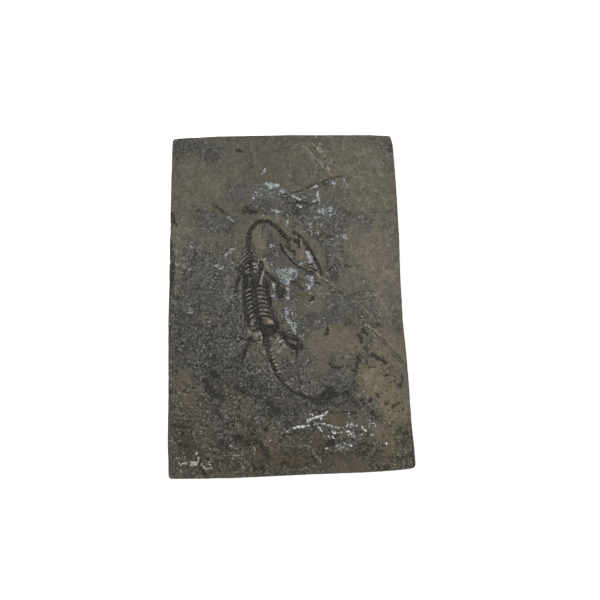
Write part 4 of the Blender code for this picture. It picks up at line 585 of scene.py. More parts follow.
# The parts of the pelvis: route, widths and half-height.
HIP_BONES = [([(-20.9, -13.9), (-15.4, -14.4), (-9.7, -14)], [3.2, 4.8, 4.4, 2.4], 0.62),
    ([(-18.5, -16.9), (-14.6, -18.1), (-10.4, -17.1)], [2.6, 4, 3, 1.6], 0.66),
    ([(-21, -14.6), (-24.1, -13.3), (-25.6, -10.7)], [3.2, 3.2, 1.8], 0.66),
    ([(-23.4, -7.3), (-23.8, -10.4), (-22.7, -13.9)], [2, 2.6, 3], 0.66),
    ([(-11, -7.6), (-9.6, -10.8), (-9.2, -14.2)], [2, 2.8, 2.6], 0.6),
    ([(-18, -21.8), (-16.6, -24.6), (-16.4, -27.1)], [2.2, 3.4, 2.2], 0.62),
    ([(-29.5, -21.4), (-27.3, -21.2)], [1.2, 1.5, 1.1], 0.58),
    ([(-28.8, -24.3), (-26.7, -24), (-24.4, -23.6)], [1.2, 1.5, 1.1], 0.6),
    ([(-24.5, -23.6), (-21.3, -22.5)], [0.9, 0.8, 0.8], 0.5),
    ([(-27.4, -16.4), (-25.1, -16.1)], [0.9, 1.3, 0.9], 0.52),
    ([(-30.6, -9.8), (-30.9, -14.7)], [0.8, 0.8, 0.6], 0.54),
    ([(-29.3, -10.1), (-29.5, -14.3)], [0.8, 0.7, 0.6], 0.52),
    ([(-16, -18.8), (-11.3, -21.3)], [1.2, 1, 0.9], 0.54)]
# The bones of the limbs and the shoulders, as one or more routes with their widths.
SINGLE_BONES = {
    "left_shoulder_blade": [([(-35.3, 29.6), (-35.3, 26.6), (-34.4, 23.4)], [2.1, 3.9, 3.7, 1.8])],
    "right_shoulder_blade": [([(-21.3, 32), (-21.3, 28.9), (-21.4, 25.9)], [2.1, 3.9, 3.7, 2.2]),
        ([(-21.6, 25.9), (-23.4, 22.1), (-24.6, 18.6), (-25.6, 15.6)], [2.2, 3.6, 4.1, 3])],
    "left_chest_bone": [([(-32.5, 22.9), (-32.3, 19.6), (-32, 15.7)], [2.6, 3.5, 3.4, 2.6])],
    "right_chest_bone": [([(-19.5, 21), (-18.9, 18.2), (-18.1, 14.7)], [1.3, 1.8, 1.5, 1]),
        ([(-17.7, 18.6), (-16.8, 16.5), (-16, 14)], [1, 1.4, 1.3, 0.9])],
    "left_upper_arm": [([(-36.5, 20.6), (-38.1, 16.4), (-39.5, 11.1)], [2.1, 2.6, 2.2, 2.2, 2.7, 1.9])],
    "right_upper_arm": [([(-18, 24.2), (-15.2, 21.8), (-11.5, 17.8)], [2.1, 2.6, 2.2, 2.2, 2.6, 2])],
    "right_forearm": [([(-10.6, 12.9), (-8.6, 13.3), (-6.8, 12.3)], [1.8, 2.8, 2.2]),
        ([(-10.4, 11), (-8, 10.7), (-6, 10.1)], [2.4, 3.2, 2]),
        ([(-9, 8.7), (-7.6, 8.2), (-6.1, 8)], [1.6, 2.6, 1.6]),
        ([(-9.4, 17.1), (-8.6, 15.8)], [1.5, 2, 1.4]), ([(-8.7, 15.7), (-8.7, 13)], [0.8, 0.8, 1.2])],
    "left_thigh": [([(-30.2, -24), (-31.8, -28.9), (-34.4, -36.2)], [1.2, 1.6, 1.3, 1.6, 2.2, 1.5])],
    "right_thigh": [([(-7.6, -18.5), (-2.5, -20.8), (4.8, -23.5)], [2.1, 2.5, 2.2, 2, 1.9, 1.4]),
        ([(-3.6, -17.6), (0.7, -19.4), (5.3, -22)], [0.7, 0.8, 0.8, 0.7]),
        ([(-7.9, -17.1), (-5.3, -17.6)], [1.4, 1.7, 1.3])],
    "right_shin": [([(4.4, -25.7), (3.9, -28.8), (3.4, -31.2)], [1.8, 1.4, 1.7, 1.3]),
        ([(6.9, -25.6), (6.7, -28.9)], [1.8, 2.2, 1.6]),
        ([(-0.1, -26.7), (1.6, -26.3), (2.3, -28), (0.6, -28.7), (-0.1, -27.1)],
        [1.2, 1.4, 1.1, 1.3, 1.1]), ([(-3.6, -24.1), (-1.5, -25.7)], [1.8, 2.2, 1.6]),
        ([(-5.7, -21.4), (-4.1, -22.3)], [1.4, 1.5]), ([(0.3, -31.3), (0.7, -32.7)], [0.9, 1.1])],
}
# The hollow in a bone: its middle and its half-widths.
HOLLOWED = {
    "neck": (-27.8, 46.9, 0.7, 2),
    "right_shoulder_blade": (-21.3, 29.4, 0.72, 1.75),
    "left_shoulder_blade": (-35.2, 26.7, 0.76, 1.5),
    "rib_cage": (-28.5, 19.4, 1.3, 1.7),
}
# The bars of the skull and the jaw: route, widths and half-height.
SKULL_BARS = [([(1.3, 52), (4.5, 50.4), (7.6, 47.8), (10.1, 44.8), (11.8, 42.3), (13.4, 39.4),
    (14.7, 36.9), (16.4, 34), (18, 31.5), (18.9, 28.9), (20.1, 25.6), (21.2, 22.7)],
    [2.1, 1.5, 1.3, 1.8, 2.2, 1.5, 1.4, 1.4, 1.9, 2.2, 2, 1.4], 0.8),
    ([(7.9, 45.7), (9.4, 43.7), (10.9, 42.1)], [0.8, 1.3, 0.9], 0.7), ([(-8.1, 43.5), (-6.8, 40.8),
    (-5.2, 38.6), (-3.7, 36.5), (-1.8, 34.5), (0, 32.4), (2.2, 30.1), (4.9, 28.3), (7.6, 27),
    (10.1, 25.6)], [1.3, 1.8, 1.3, 1.5, 1.05, 1.4, 1.15, 1.45, 1.5, 1.1], 0.76),
    ([(-8, 44.3), (-6.7, 43)], [0.9, 0.9], 0.6),
    ([(1.6, 47.1), (3, 46), (4.7, 44.6)], [1.6, 2.7, 1.8], 0.76),
    ([(5.1, 49.7), (4.9, 46.1), (5.1, 41.8)], [1, 1.15, 1.1], 0.7),
    ([(5.1, 41.8), (6, 41.6)], [0.8, 0.7], 0.56),
    ([(-1.1, 43.7), (-2.1, 42.5), (-3, 41.5)], [1.1, 1.5, 1.3], 0.72),
    ([(-3.2, 41.2), (-1.5, 40.5), (0.2, 39.6), (1.9, 38.7)], [1.7, 2.3, 2.3, 1.7], 0.78),
    ([(1.9, 38.9), (2.2, 36.6)], [1.8, 1.7], 0.7), ([(-4.6, 43.2), (-3.6, 42.2)], [0.8, 0.8], 0.6),
    ([(-6.5, 42.3), (-6, 41.8)], [0.8, 0.8], 0.6), ([(4.4, 32), (5.2, 31.3)], [0.6, 0.7], 0.52),
    ([(1.9, 34.2), (2.1, 33.5)], [1, 1], 0.6),
    ([(12.1, 41.6), (11.2, 42.1), (10.1, 41.5), (10.1, 40.4), (11, 39.8), (12.1, 40.3), (12.1, 41.4)],
    [0.7, 0.8, 0.7, 0.8, 0.7, 0.7], 0.6),
    ([(10.2, 28.7), (12.2, 29.8), (14.4, 29.5), (16.1, 28.2)], [0.5, 0.7, 0.8, 0.6], 0.52),
    ([(9.7, 26.6), (11.8, 27.7), (13.9, 27.6), (15.9, 26.3), (17.6, 24.8)], [0.5, 0.8, 0.7, 0.9, 0.7],
    0.54), ([(9.9, 24.5), (11.9, 25.3), (13.9, 25), (15.9, 23.9)], [0.7, 0.9, 0.7, 0.6], 0.56),
    ([(9.5, 22.8), (11.6, 23.2), (13.6, 22.7)], [0.6, 0.9, 0.6], 0.52)]

# How far the bones reach to each side of their middle lines, for the trough round them.
CHAIN_HALVES = [(NECK_ARCH, 1.4), (NECK_BASE, 2.6), (BACK_ROUTE, 6.5), (HIP_ROUTE, 5.5), (TAIL_ROUTE, 1.0)]
SINGLE_HALF, SKULL_HALF = 1.0, 0.6

# How the bones are made.
BONE_MIDDLE = 14.72  # height of the bones' middle line, which lies just under the face
BONE_LOW, BONE_TOP = 13.9, 15.78  # no bone reaches past these heights
SKULL_RAISE = 0.02
BONE_VOXEL = 0.17  # the fineness of the bones' meshes
BONE_SOFTEN, SOFTEN_ROUNDS = 0.5, 2
BONE_GRAIN, GRAIN_NOISE = 0.055, (0.8, 131, 2)
BONE_WEAR, WEAR_NOISE = 0.07, (2.4, 137, 2)
HOLLOW_DEPTH = 0.36
HOLLOW_RIM = 1.2  # where a hollow runs out, as the square of a share of its half-widths
BONE_STEP, LEAST_STEPS = 0.5, 6  # how far apart a plain bone's points lie, and how few it may have
THIN_LIFT, WIDE_LIFT = 0.7, 0.3  # a bone's height at no width, and what its full width adds
WIDE_FROM = 1.1  # a bone counts as full a little before it is at its widest
WAIST_LIFT, BEAD_LIFT = 0.8, 0.2  # a vertebra's height at its waist, and what its middle adds
SIDES = 12  # of a bone's cross-section; the small processes have fewer
FEW_SIDES = 8
END_REACH = (0.45, 0.78, 0.95)  # the rounding of a bone's end: how far out, in half-widths,
END_SHRINK = (0.86, 0.55, 0.2)  # and how thick it still is there
BEAD_STEPS = 8  # the points that one vertebra has on its chain's line
# Half-widths and half-heights along the spine on a vertebra, and along its side processes.
SPINE_WIDE, SPINE_HIGH = [0.28, 0.36, 0.28], [0.3, 0.4, 0.3]
SPUR_WIDE, SPUR_HIGH = [0.3, 0.48, 0.3], [0.34, 0.5, 0.34]
SPINE_PLACE = 0.72  # the height of a spine's middle line, as a share of the vertebra's
SPUR_RAISE = 0.1
SPUR_LEAN = 0.175  # how far a side process leans along the chain, as a share of the pitch
# The notch between two vertebrae: how far along the chain rock shows fully, and at all.
NOTCH_FULL, NOTCH_END = 0.22, 0.54
NOTCH_MIDDLE, NOTCH_ASIDE = 0.20, 0.80  # on the chain's middle line, and what is added beside it
NOTCH_CORE = 0.35  # the share of the half-width that counts as the middle
NOTCH_OUT, NOTCH_PAST = 0.1, 0.5  # how far beside the vertebra it goes on

# The colours, as linear light. A pair is the two ends of a ground that goes from one to the other.
TAN = ((0.094, 0.081, 0.061), (0.142, 0.125, 0.096))
TAN_SWIRL_DARK = (0.086, 0.076, 0.060)
TAN_SWIRL_PALE = (0.160, 0.144, 0.112)
TAN_STREAK = (0.158, 0.143, 0.112)
TAN_SPOT_DARK = (0.072, 0.064, 0.051)
TAN_SPOT_PALE = (0.196, 0.178, 0.144)
VEIN_DARK = (0.052, 0.047, 0.038)
VEIN_PALE = (0.240, 0.220, 0.176)
GREY = ((0.054, 0.0535, 0.0465), (0.093, 0.0905, 0.078))
GREY_BLOT_TAN = (0.132, 0.118, 0.092)
GREY_BLOT_BLACK = (0.022, 0.022, 0.020)
GREY_SPOT_BLACK = (0.021, 0.021, 0.019)
GREY_SPOT_PALE = (0.172, 0.170, 0.153)
GREY_FLECK = (0.340, 0.335, 0.315)
CLOUD = ((0.068, 0.066, 0.061), (0.114, 0.112, 0.103))
CLOUD_DARK = (0.036, 0.036, 0.033)
CLOUD_PALE = (0.175, 0.172, 0.158)
BROWN_TINGE = (0.090, 0.079, 0.058)
FLAKE = ((0.076, 0.062, 0.042), (0.116, 0.098, 0.070))
WARM_TINT = (1.07, 0.96, 0.80)
OCHRE_TINT = (1.21, 1.14, 1.00)
BLOOM_WHITE = (0.180, 0.187, 0.182)
FILM = ((0.018, 0.018, 0.016), (0.058, 0.056, 0.050))
DARK_SPOT = (0.024, 0.024, 0.022)
CRACK_LIP = (0.215, 0.197, 0.158)
CRACK_BLACK = (0.022, 0.021, 0.019)
BARE_ROCK = ((0.118, 0.107, 0.083), (0.335, 0.314, 0.266))
SCRATCH = (0.235, 0.217, 0.175)
CRUST_GAP = (0.034, 0.034, 0.032)
CRUST = ((0.105, 0.113, 0.110), (0.205, 0.224, 0.222))
CALCITE_BLUE = (0.455, 0.515, 0.525)
CALCITE_WHITE = (0.84, 0.84, 0.80)
CHIP = ((0.275, 0.242, 0.185), (0.60, 0.545, 0.445))
LAYER = ((0.040, 0.037, 0.031), (0.112, 0.101, 0.080))
SIDE_FLECK = (0.175, 0.165, 0.142)
SIDE_EARTH = (0.086, 0.070, 0.046)
BACK = ((0.094, 0.087, 0.073), (0.146, 0.136, 0.116))
SAW_MARK = (0.074, 0.069, 0.059)
BACK_DUST = (0.205, 0.196, 0.174)
BACK_BLOTCH = (0.064, 0.061, 0.055)
BONE = ((0.024, 0.024, 0.0215), (0.049, 0.048, 0.043))
BONE_WORN_AND_HIGHLIGHT = (0.074, 0.071, 0.064)
BONE_SPLIT = (0.009, 0.009, 0.008)
BONE_FLECK = (0.255, 0.244, 0.212)
EARTH = ((0.115, 0.105, 0.085), (0.225, 0.210, 0.175))
HOLLOW_GREY = (0.096, 0.098, 0.094)

# Other numbers of the looks.
EARTH_HEIGHTS = (14.84, 14.56)  # bone is bare above the first height, and earthy below the second
LOWER_CALCITE = (-30.0, -70.0)  # calcite goes from pale blue to white from one y down to the other
SAW_MIDDLE = (330.0, 90.0, 0.0)  # shifts the arcs of the saw, so that their middle lies off the slab
BUMP_STRENGTH = 0.9

# Light, floor and camera. The lamp and the world are in metres and watts.
FLOOR_GLOW = 0.60
FLOOR_HALF = 3000.0
FLOOR_DROP = 0.02  # the floor lies this little under the slab, so that their faces stay apart
SKY = 0.78
LAMP_WATTS = 6.0
LAMP_SIZE = 0.7
LAMP_PLACE = (-0.55, 0.75, 1.05)
CAMERA_PLACE = (5.9, 4.95)  # the slab lies a little left of and below the picture's middle
CAMERA_HEIGHT = 1200.0  # above the face
PICTURE_WIDTH = 418.5  # what the picture takes in across the face
SENSOR = 36.0


def smooth_line(points, count):
    """Return count evenly spaced places on a smooth line through the points."""
    knots = np.array(points, float)
    if len(knots) == 2:
        return knots[0] + (knots[1] - knots[0]) * np.linspace(0, 1, count)[:, None]
    knots = np.vstack([2 * knots[0] - knots[1], knots, 2 * knots[-1] - knots[-2]])
    t = np.linspace(0, 1, CURVE_STEPS, endpoint=False)[:, None]
    dense = []
    for a, b, c, d in zip(knots, knots[1:], knots[2:], knots[3:]):
        dense.append((2 * b + (c - a) * t + (2 * a - 5 * b + 4 * c - d) * t ** 2
                      + (3 * b - a - 3 * c + d) * t ** 3) / 2)
    dense = np.vstack(dense + [knots[-2:-1]])
    along = np.concatenate([[0], np.cumsum(np.hypot(*np.diff(dense, axis=0).T))])
    wanted = np.linspace(0, along[-1], count)
    return np.stack([np.interp(wanted, along, dense[:, k]) for k in (0, 1)], 1)


def line_length(points):
    """Return the length of the smooth line through the points."""
    return float(np.hypot(*np.diff(smooth_line(points, LENGTH_STEPS), axis=0).T).sum())


def spread_along(values, shares):
    """Return the values read at the shares from 0 to 1 of a bone's length."""
    return np.interp(shares, np.linspace(0, 1, len(values)), values)


def ramp(value, low, high):
    """Return 0 where value is at low, 1 where it is at high, and an easy slope between."""
    t = np.clip((value - low) / (high - low), 0, 1)
    return t * t * (3 - 2 * t)


def lattice(ix, iy, iz, seed):
    """Return a fixed number from -1 to 1 for each point of a lattice."""
    mixed = (ix * 73856093) ^ (iy * 19349663) ^ (iz * 83492791) ^ (seed * 40503)
    mixed &= 0xFFFFFFFF
    mixed = ((mixed ^ (mixed >> 15)) * 0x2C1B3C6D) & 0xFFFFFFFF
    mixed = ((mixed ^ (mixed >> 12)) * 0x297A2D39) & 0xFFFFFFFF
    return ((mixed ^ (mixed >> 15)) & 0xFFFFFF) / 0x7FFFFF - 1.0


def soft_noise(places, size, seed):
    """Return smooth noise from -1 to 1 whose lumps are about size millimetres across."""
    scaled = places / size
    base = np.floor(scaled).astype(np.int64)
    part = scaled - base
    part = part * part * part * (part * (part * 6 - 15) + 10)
    total = 0.0
    for dx in (0, 1):
        for dy in (0, 1):
            for dz in (0, 1):
                weight = (np.where(dx, part[:, 0], 1 - part[:, 0])
                          * np.where(dy, part[:, 1], 1 - part[:, 1])
                          * np.where(dz, part[:, 2], 1 - part[:, 2]))
                total = total + weight * lattice(base[:, 0] + dx, base[:, 1] + dy,
                                                 base[:, 2] + dz, seed)
    return total


def rough(places, size, seed, layers=3):
    """Return layered noise, about -1 to 1, from lumps of size millimetres down."""
    if places.shape[1] == 2:
        places = np.column_stack([places, np.zeros(len(places))])
    shares = [LAYER_SHARE ** k for k in range(layers)]
    total = sum(soft_noise(places, size / 2 ** k, seed + k) * share for k, share in enumerate(shares))
    return total * NOISE_SWING / sum(shares)


def sway(places, size, seed, layers=3):
    """Return a noise's shift along x and along y for each place."""
    return np.column_stack([rough(places, size, seed + more, layers) for more in SWAY_SEEDS])


def line_distance(places, line):
    """Return the distance from a line of points, its sign by side, and how far past its ends."""
    best = np.full(len(places), FAR)
    sign = np.ones(len(places))
    past = np.zeros(len(places))
    line = np.array(line, float)
    if len(line) == 1:
        return np.hypot(*(places - line[0]).T), sign, past
    for k in range(len(line) - 1):
        run = line[k + 1] - line[k]
        offset = places - line[k]
        share = offset @ run / (run @ run)
        held = np.clip(share, 0, 1)
        away = np.hypot(*(offset - held[:, None] * run).T)
        nearer = away < best
        side = np.sign(run[0] * offset[:, 1] - run[1] * offset[:, 0])
        beyond = np.zeros(len(places))
        if k == 0:
            beyond = np.maximum(beyond, -share)
        if k == len(line) - 2:
            beyond = np.maximum(beyond, share - 1)
        best = np.where(nearer, away, best)
        sign = np.where(nearer, np.where(side == 0, 1, side), sign)
        past = np.where(nearer, beyond * math.sqrt(run @ run), past)
    return best, sign, past


def painted(places, strokes, softness=SOFT):
    """Return how strongly the strokes cover each place."""
    cover = np.zeros(len(places))
    for strength, half, *points in strokes:
        line = np.reshape(points, (-1, 2)).astype(float)
        reach = half * (1 + softness)
        near = ((places > line.min(0) - reach) & (places < line.max(0) + reach)).all(1)
        near = np.flatnonzero(near)
        away = line_distance(places[near], line)[0]
        here = strength * ramp(-away, -reach, -half * (1 - softness))
        cover[near] = np.maximum(cover[near], here)
    return cover


def inside(places, ring):
    """Return which places lie inside a closed ring of points."""
    hit = np.zeros(len(places), bool)
    for (ax, ay), (bx, by) in zip(ring, ring[1:] + ring[:1]):
        crosses = (ay > places[:, 1]) != (by > places[:, 1])
        at = ax + (places[:, 1] - ay) * (bx - ax) / (by - ay if by != ay else 1e-9)
        hit ^= crosses & (places[:, 0] < at)
    return hit


def crack_marks(places, marks):
    """Return the signed distance from the nearest of the marked lines, and how strongly it counts."""
    signed = np.full(len(places), MARK_FAR)
    counts = np.zeros(len(places))
    for line, strength in marks:
        away, sign, past = line_distance(places, smooth_line(line, CRACK_POINTS * len(line)))
        nearer = away < np.abs(signed)
        signed = np.where(nearer, away * sign, signed)
        here = strength * ramp(-away, -MARK_END, -MARK_FULL) * ramp(-past, -MARK_FADE, 0.0)
        counts = np.where(nearer, here, counts)
    return signed, counts


def skeleton_lines():
    """Return every bone's middle line with its half-width."""
    single = [(route, SINGLE_HALF) for bones in SINGLE_BONES.values() for route, _ in bones]
    return CHAIN_HALVES + single + [(route, SKULL_HALF) for route, _, _ in SKULL_BARS]


def bone_ground(places):
    """Return 1 next to the bones, falling to 0 a trough's width away from them."""
    near = np.full(len(places), FAR)
    close = np.flatnonzero(((places > TROUGH_LOW) & (places < TROUGH_HIGH)).all(1))
    for route, half in skeleton_lines():
        away = line_distance(places[close], smooth_line(route, BONE_POINTS * len(route)))[0] - half
        near[close] = np.minimum(near[close], away)
    return ramp(-near, -TROUGH_END, -TROUGH_START)


def spall_depth(places):
    """Return how deep the flaked-off places go."""
    depth = np.zeros(len(places))
    for ring, deepest, down, run_out in SPALLS:
        here = np.flatnonzero(inside(places, ring))
        away = line_distance(places[here], smooth_line(deepest, SPALL_POINTS * len(deepest)))[0]
        depth[here] = np.maximum(depth[here], down * (1 - ramp(away, 0.0, run_out)) + SPALL_STEP)
    return depth


def face_height(places):
    """Return the height of the slab's face at each place."""
    height = FACE + sum(LUMP_HEIGHT * rough(places, *lump) for lump in LUMPS)
    height -= TROUGH_DEPTH * bone_ground(places)
    wobbly = places + WOBBLE_REACH * sway(places, *WOBBLE)
    height -= spall_depth(wobbly)
    height += FLECKED_HEIGHT * painted(wobbly, MOTTLED) * rough(places, *FLECKED_NOISE)
    height += CRUST_HEIGHT * painted(wobbly, CALCITE) * (CRUST_LEVEL + rough(places, *CRUST_NOISE))
    height -= DARK_DEPTH * painted(wobbly, DARK)
    for line, deep, step in CRACK_RELIEF:
        away, sign, past = line_distance(wobbly, smooth_line(line, CRACK_POINTS * len(line)))
        on = ramp(-past, -CRACK_FADE, 0.0)
        height -= deep * np.exp(-(away / CRACK_HALF) ** 2) * on
        height += step * sign * np.exp(-(away / STEP_REACH) ** 2) * on
    return height


def face_outline():
    """Return four sides of dense points, from the middle of one rounded corner to the next."""
    sides = (BOTTOM_SIDE, RIGHT_SIDE, TOP_SIDE, LEFT_SIDE)
    arcs = []
    for index, side in enumerate(sides):
        corner, after = np.array(side[0]), np.array(side[1])
        before = np.array(sides[index - 1][-1])
        radius = CORNER_RADII[index]
        start = corner + (before - corner) / np.hypot(*(before - corner)) * radius
        end = corner + (after - corner) / np.hypot(*(after - corner)) * radius
        t = np.linspace(0, 1, CORNER_STEPS + 1)[:, None]
        arcs.append(start * (1 - t) ** 2 + corner * 2 * t * (1 - t) + end * t * t)
    half = CORNER_STEPS // 2
    parts = []
    for index, side in enumerate(sides):
        after = arcs[(index + 1) % 4][:half + 1]
        parts.append(np.vstack([arcs[index][half:], np.array(side[1:]), after]))
    every = np.vstack(parts)
    middle = (every.min(0) + every.max(0)) / 2
    scale = np.array([SLAB_WIDTH, SLAB_LENGTH]) / (every.max(0) - every.min(0))
    return [(part - middle) * scale for part in parts]


def graded(half, dense, cells):
    """Return shares from 0 to 1 across a width of twice half, closer between the dense limits."""
    at = np.linspace(-half, half, GRID_SAMPLES)
    fine = (1 - SPARSE) * ramp(at, dense[0] - GRID_FADE, dense[0])
    pace = SPARSE + fine * ramp(-at, -dense[1] - GRID_FADE, -dense[1])
    total = np.concatenate([[0], np.cumsum(pace[1:])])
    return np.interp(np.linspace(0, 1, cells + 1), total / total[-1], (at + half) / (2 * half))


def rim_line(across, along):
    """Return the outline's points, one for each cell of the face's edge, and the ways out of it."""
    shares = (across, along, 1 - across[::-1], 1 - along[::-1])
    places = []
    for part, share in zip(face_outline(), shares):
        far = np.concatenate([[0], np.cumsum(np.hypot(*np.diff(part, axis=0).T))])
        wanted = share[:-1] * far[-1]
        places.append(np.stack([np.interp(wanted, far, part[:, k]) for k in (0, 1)], 1))
    places = np.vstack(places)
    run = np.roll(places, -2, 0) - np.roll(places, 2, 0)
    out = np.column_stack([run[:, 1], -run[:, 0]])
    return places, out / np.hypot(*out.T)[:, None]


def side_rings(rim, out):
    """Return the rings of the broken sides, from the face's edge down to the back."""
    rings = []
    around = np.column_stack([rim, np.zeros(len(rim))])
    for row, (height, inset, jag) in enumerate(SIDE_ROWS):
        at = around + np.array([0.0, 0.0, height * TEETH_DOWN])
        teeth = TEETH_LEVEL + COARSE_TEETH * rough(at, *COARSE_NOISE) + FINE_TEETH * rough(at, *FINE_NOISE)
        back = inset + jag * np.clip(teeth, 0, TEETH_MOST)
        level = np.full(len(rim), height)
        if CALM_ROWS < row < len(SIDE_ROWS) - CALM_ROWS:
            layer = around + np.array([0, 0, (row // WAVE_ROWS) * WAVE_DOWN])
            level = level + WAVE_HEIGHT * rough(layer, *WAVE_NOISE)
        rings.append(np.column_stack([rim - out * back[:, None], level]))
    return rings


def patch(ring, across, along, cells_x, cells_y):
    """Return places that fill a ring: rows from the bottom side up, each from left to right."""
    low, right = ring[:cells_x + 1], ring[cells_x:cells_x + cells_y + 1]
    top = ring[cells_x + cells_y:2 * cells_x + cells_y + 1][::-1]
    left = np.vstack([ring[2 * cells_x + cells_y:], ring[:1]])[::-1]
    s, t = across[None, :, None], along[:, None, None]
    filled = ((1 - t) * low[None] + t * top[None] + (1 - s) * left[:, None] + s * right[:, None]
              - (1 - s) * (1 - t) * low[0] - s * (1 - t) * low[-1]
              - (1 - s) * t * top[0] - s * t * top[-1])
    return filled.reshape(-1, filled.shape[2])


def rim_numbers(cells_x, cells_y):
    """Return which of a patch's places lie on its ring, in the ring's order."""
    row = cells_x + 1
    low = np.arange(cells_x)
    right = np.arange(cells_y) * row + cells_x
    top = cells_y * row + np.arange(cells_x, 0, -1)
    left = np.arange(cells_y, 0, -1) * row
    return np.concatenate([low, right, top, left])


def bowl_out(places):
    """Sink the places that lie in the bowls of broken-out pieces."""
    for x, y, z, rx, ry, rz in BOWLS:
        apart = (places - np.array([x, y, z])) / np.array([rx, ry, rz])
        wave = BOWL_WAVE * rough(places, *BOWL_NOISE)
        far = np.sqrt((apart ** 2).sum(1)) + wave
        hit = (far < 1) & (places[:, 2] > BOWL_LOW)
        past = np.array([abs(x) > EDGE_X, abs(y) > EDGE_Y])
        if past.any():
            bite = np.clip(1 - far[hit], 0, 1)
            inward = -np.sign(np.array([x, y])) * past
            places[hit, :2] += inward * (bite[:, None] * BITE * (rx if past[0] else ry))
            places[hit, 2] -= bite * rz * BITE
        else:
            flat = (apart[hit][:, :2] ** 2).sum(1)
            floor = z - rz * np.sqrt(np.clip(1 - flat, 0, 1))
            places[hit, 2] = np.minimum(places[hit, 2], floor + BOWL_ROUGH * wave[hit])
    return places


def placed(name, data):
    """Return a new object that holds the data, linked to the scene."""
    made = bpy.data.objects.new(name, data)
    bpy.context.scene.collection.objects.link(made)
    return made


def mesh_object(name, places, faces):
    """Return a new object made from places in millimetres and a list of face lists."""
    mesh = bpy.data.meshes.new(name)
    mesh.from_pydata((places * MM).tolist(), [], faces)
    mesh.validate()
    shade_smooth(mesh)
    return placed(name, mesh)


def shade_smooth(mesh):
    """Shade every face of a mesh smoothly."""
    mesh.polygons.foreach_set("use_smooth", np.ones(len(mesh.polygons), bool))


def read_rows(items, name, columns=3, kind=np.float32):
    """Return what every vertex, corner or face of a mesh has under a name, one row for each."""
    found = np.zeros(len(items) * columns, kind)
    items.foreach_get(name, found)
    return found.reshape(-1, columns)


def read_numbers(items, name):
    """Return a whole number for every corner or face of a mesh."""
    return read_rows(items, name, 1, np.int32)[:, 0]


def put_values(mesh, name, values):
    """Store a number for each vertex under a name that the material reads."""
    layer = mesh.attributes.new(name, "FLOAT", "POINT")
    layer.data.foreach_set("value", np.asarray(values, np.float32))


def put_map(mesh, u, v):
    """Store the place of every corner on the map that the looks are baked to."""
    layer = mesh.uv_layers.new(name="OFBake")
    layer.uv.foreach_set("vector", np.column_stack([u, v]).astype(np.float32).ravel())


def strip_faces(upper, lower):
    """Return the faces between two closed rings of vertex numbers, facing outwards."""
    after_upper, after_lower = np.roll(upper, -1), np.roll(lower, -1)
    return np.column_stack([upper, lower, after_lower, after_upper]).tolist()


def back_faces(ring, first):
    """Return the back's faces: a coarse grid whose outer cells take in every vertex of the ring."""
    count = len(ring)
    grid = np.full((BACK_ALONG + 1, BACK_ACROSS + 1), -1)
    within = np.arange((BACK_ACROSS - 1) * (BACK_ALONG - 1))
    grid[1:-1, 1:-1] = first + within.reshape(BACK_ALONG - 1, -1)
    grid.reshape(-1)[rim_numbers(BACK_ACROSS, BACK_ALONG)] = ring[::BACK_STRIDE]
    turn = {int(v): k for k, v in enumerate(ring)}
    faces = []
    for j in range(BACK_ALONG):
        for i in range(BACK_ACROSS):
            corners = [grid[j, i], grid[j + 1, i], grid[j + 1, i + 1], grid[j, i + 1]]
            corners = [int(corner) for corner in corners]
            face = []
            for a, b in zip(corners, corners[1:] + corners[:1]):
                face.append(a)
                if a in turn and b in turn and (turn[a] - turn[b]) % count == BACK_STRIDE:
                    face += [int(ring[(turn[a] - k) % count]) for k in range(1, BACK_STRIDE)]
            faces.append(face)
    return faces


def in_box(box, x, y):
    """Return the places on the map for shares from 0 to 1 across and up one box of it."""
    left, low, width, height = box
    return left + width * x, low + height * y


def put_bake_map(mesh, kinds, places):
    """Lay the face, the sides and the back side by side on one map, at the detail each needs."""
    kind = np.repeat(kinds, read_numbers(mesh.polygons, "loop_total"))
    at = places[read_numbers(mesh.loops, "vertex_index")]
    x = at[:, 0] / SLAB_WIDTH + 0.5
    y = at[:, 1] / SLAB_LENGTH + 0.5
    z = np.clip(at[:, 2] / SIDE_HEIGHT, 0, 1)
    u, v = in_box(FACE_BOX, x, y)
    under = kind == ON_BACK
    u[under], v[under] = in_box(BACK_BOX, x[under], y[under])
    for side, run in enumerate((x, y, x, y)):
        here = kind == FIRST_SIDE + side
        box = (SIDE_BOX[0] + side * SIDE_STEP, *SIDE_BOX[1:])
        u[here], v[here] = in_box(box, z[here], run[here])
    put_map(mesh, u, v)


def sawn_back(ring, across, along):
    """Return the places inside the back's edge, which rise and fall a little."""
    across, along = across[::BACK_STRIDE], along[::BACK_STRIDE]
    back = patch(ring[::BACK_STRIDE], across, along, BACK_ACROSS, BACK_ALONG)
    back = back.reshape(BACK_ALONG + 1, BACK_ACROSS + 1, 3)[1:-1, 1:-1].reshape(-1, 3)
    back[:, 2] = BACK_UNEVEN * np.clip(BACK_LEVEL + rough(back, *BACK_NOISE), 0, 2)
    return back


def slab_faces(first_row, rows):
    """Return the slab's faces and their kinds, for rows of side vertices from first_row on."""
    row = CELLS_ACROSS + 1
    start = (np.arange(CELLS_ALONG)[:, None] * row + np.arange(CELLS_ACROSS)).ravel()
    faces = np.column_stack([start, start + 1, start + row + 1, start + row]).tolist()
    kinds = [ON_FACE] * len(start)
    side_of = np.repeat(FIRST_SIDE + np.arange(4), [CELLS_ACROSS, CELLS_ALONG] * 2).tolist()
    upper = rim_numbers(CELLS_ACROSS, CELLS_ALONG)
    for k in range(rows):
        lower = first_row + k * len(upper) + np.arange(len(upper))
        faces += strip_faces(upper, lower)
        kinds += side_of
        upper = lower
    back = back_faces(upper, first_row + rows * len(upper))
    return faces + back, kinds + [ON_BACK] * len(back)


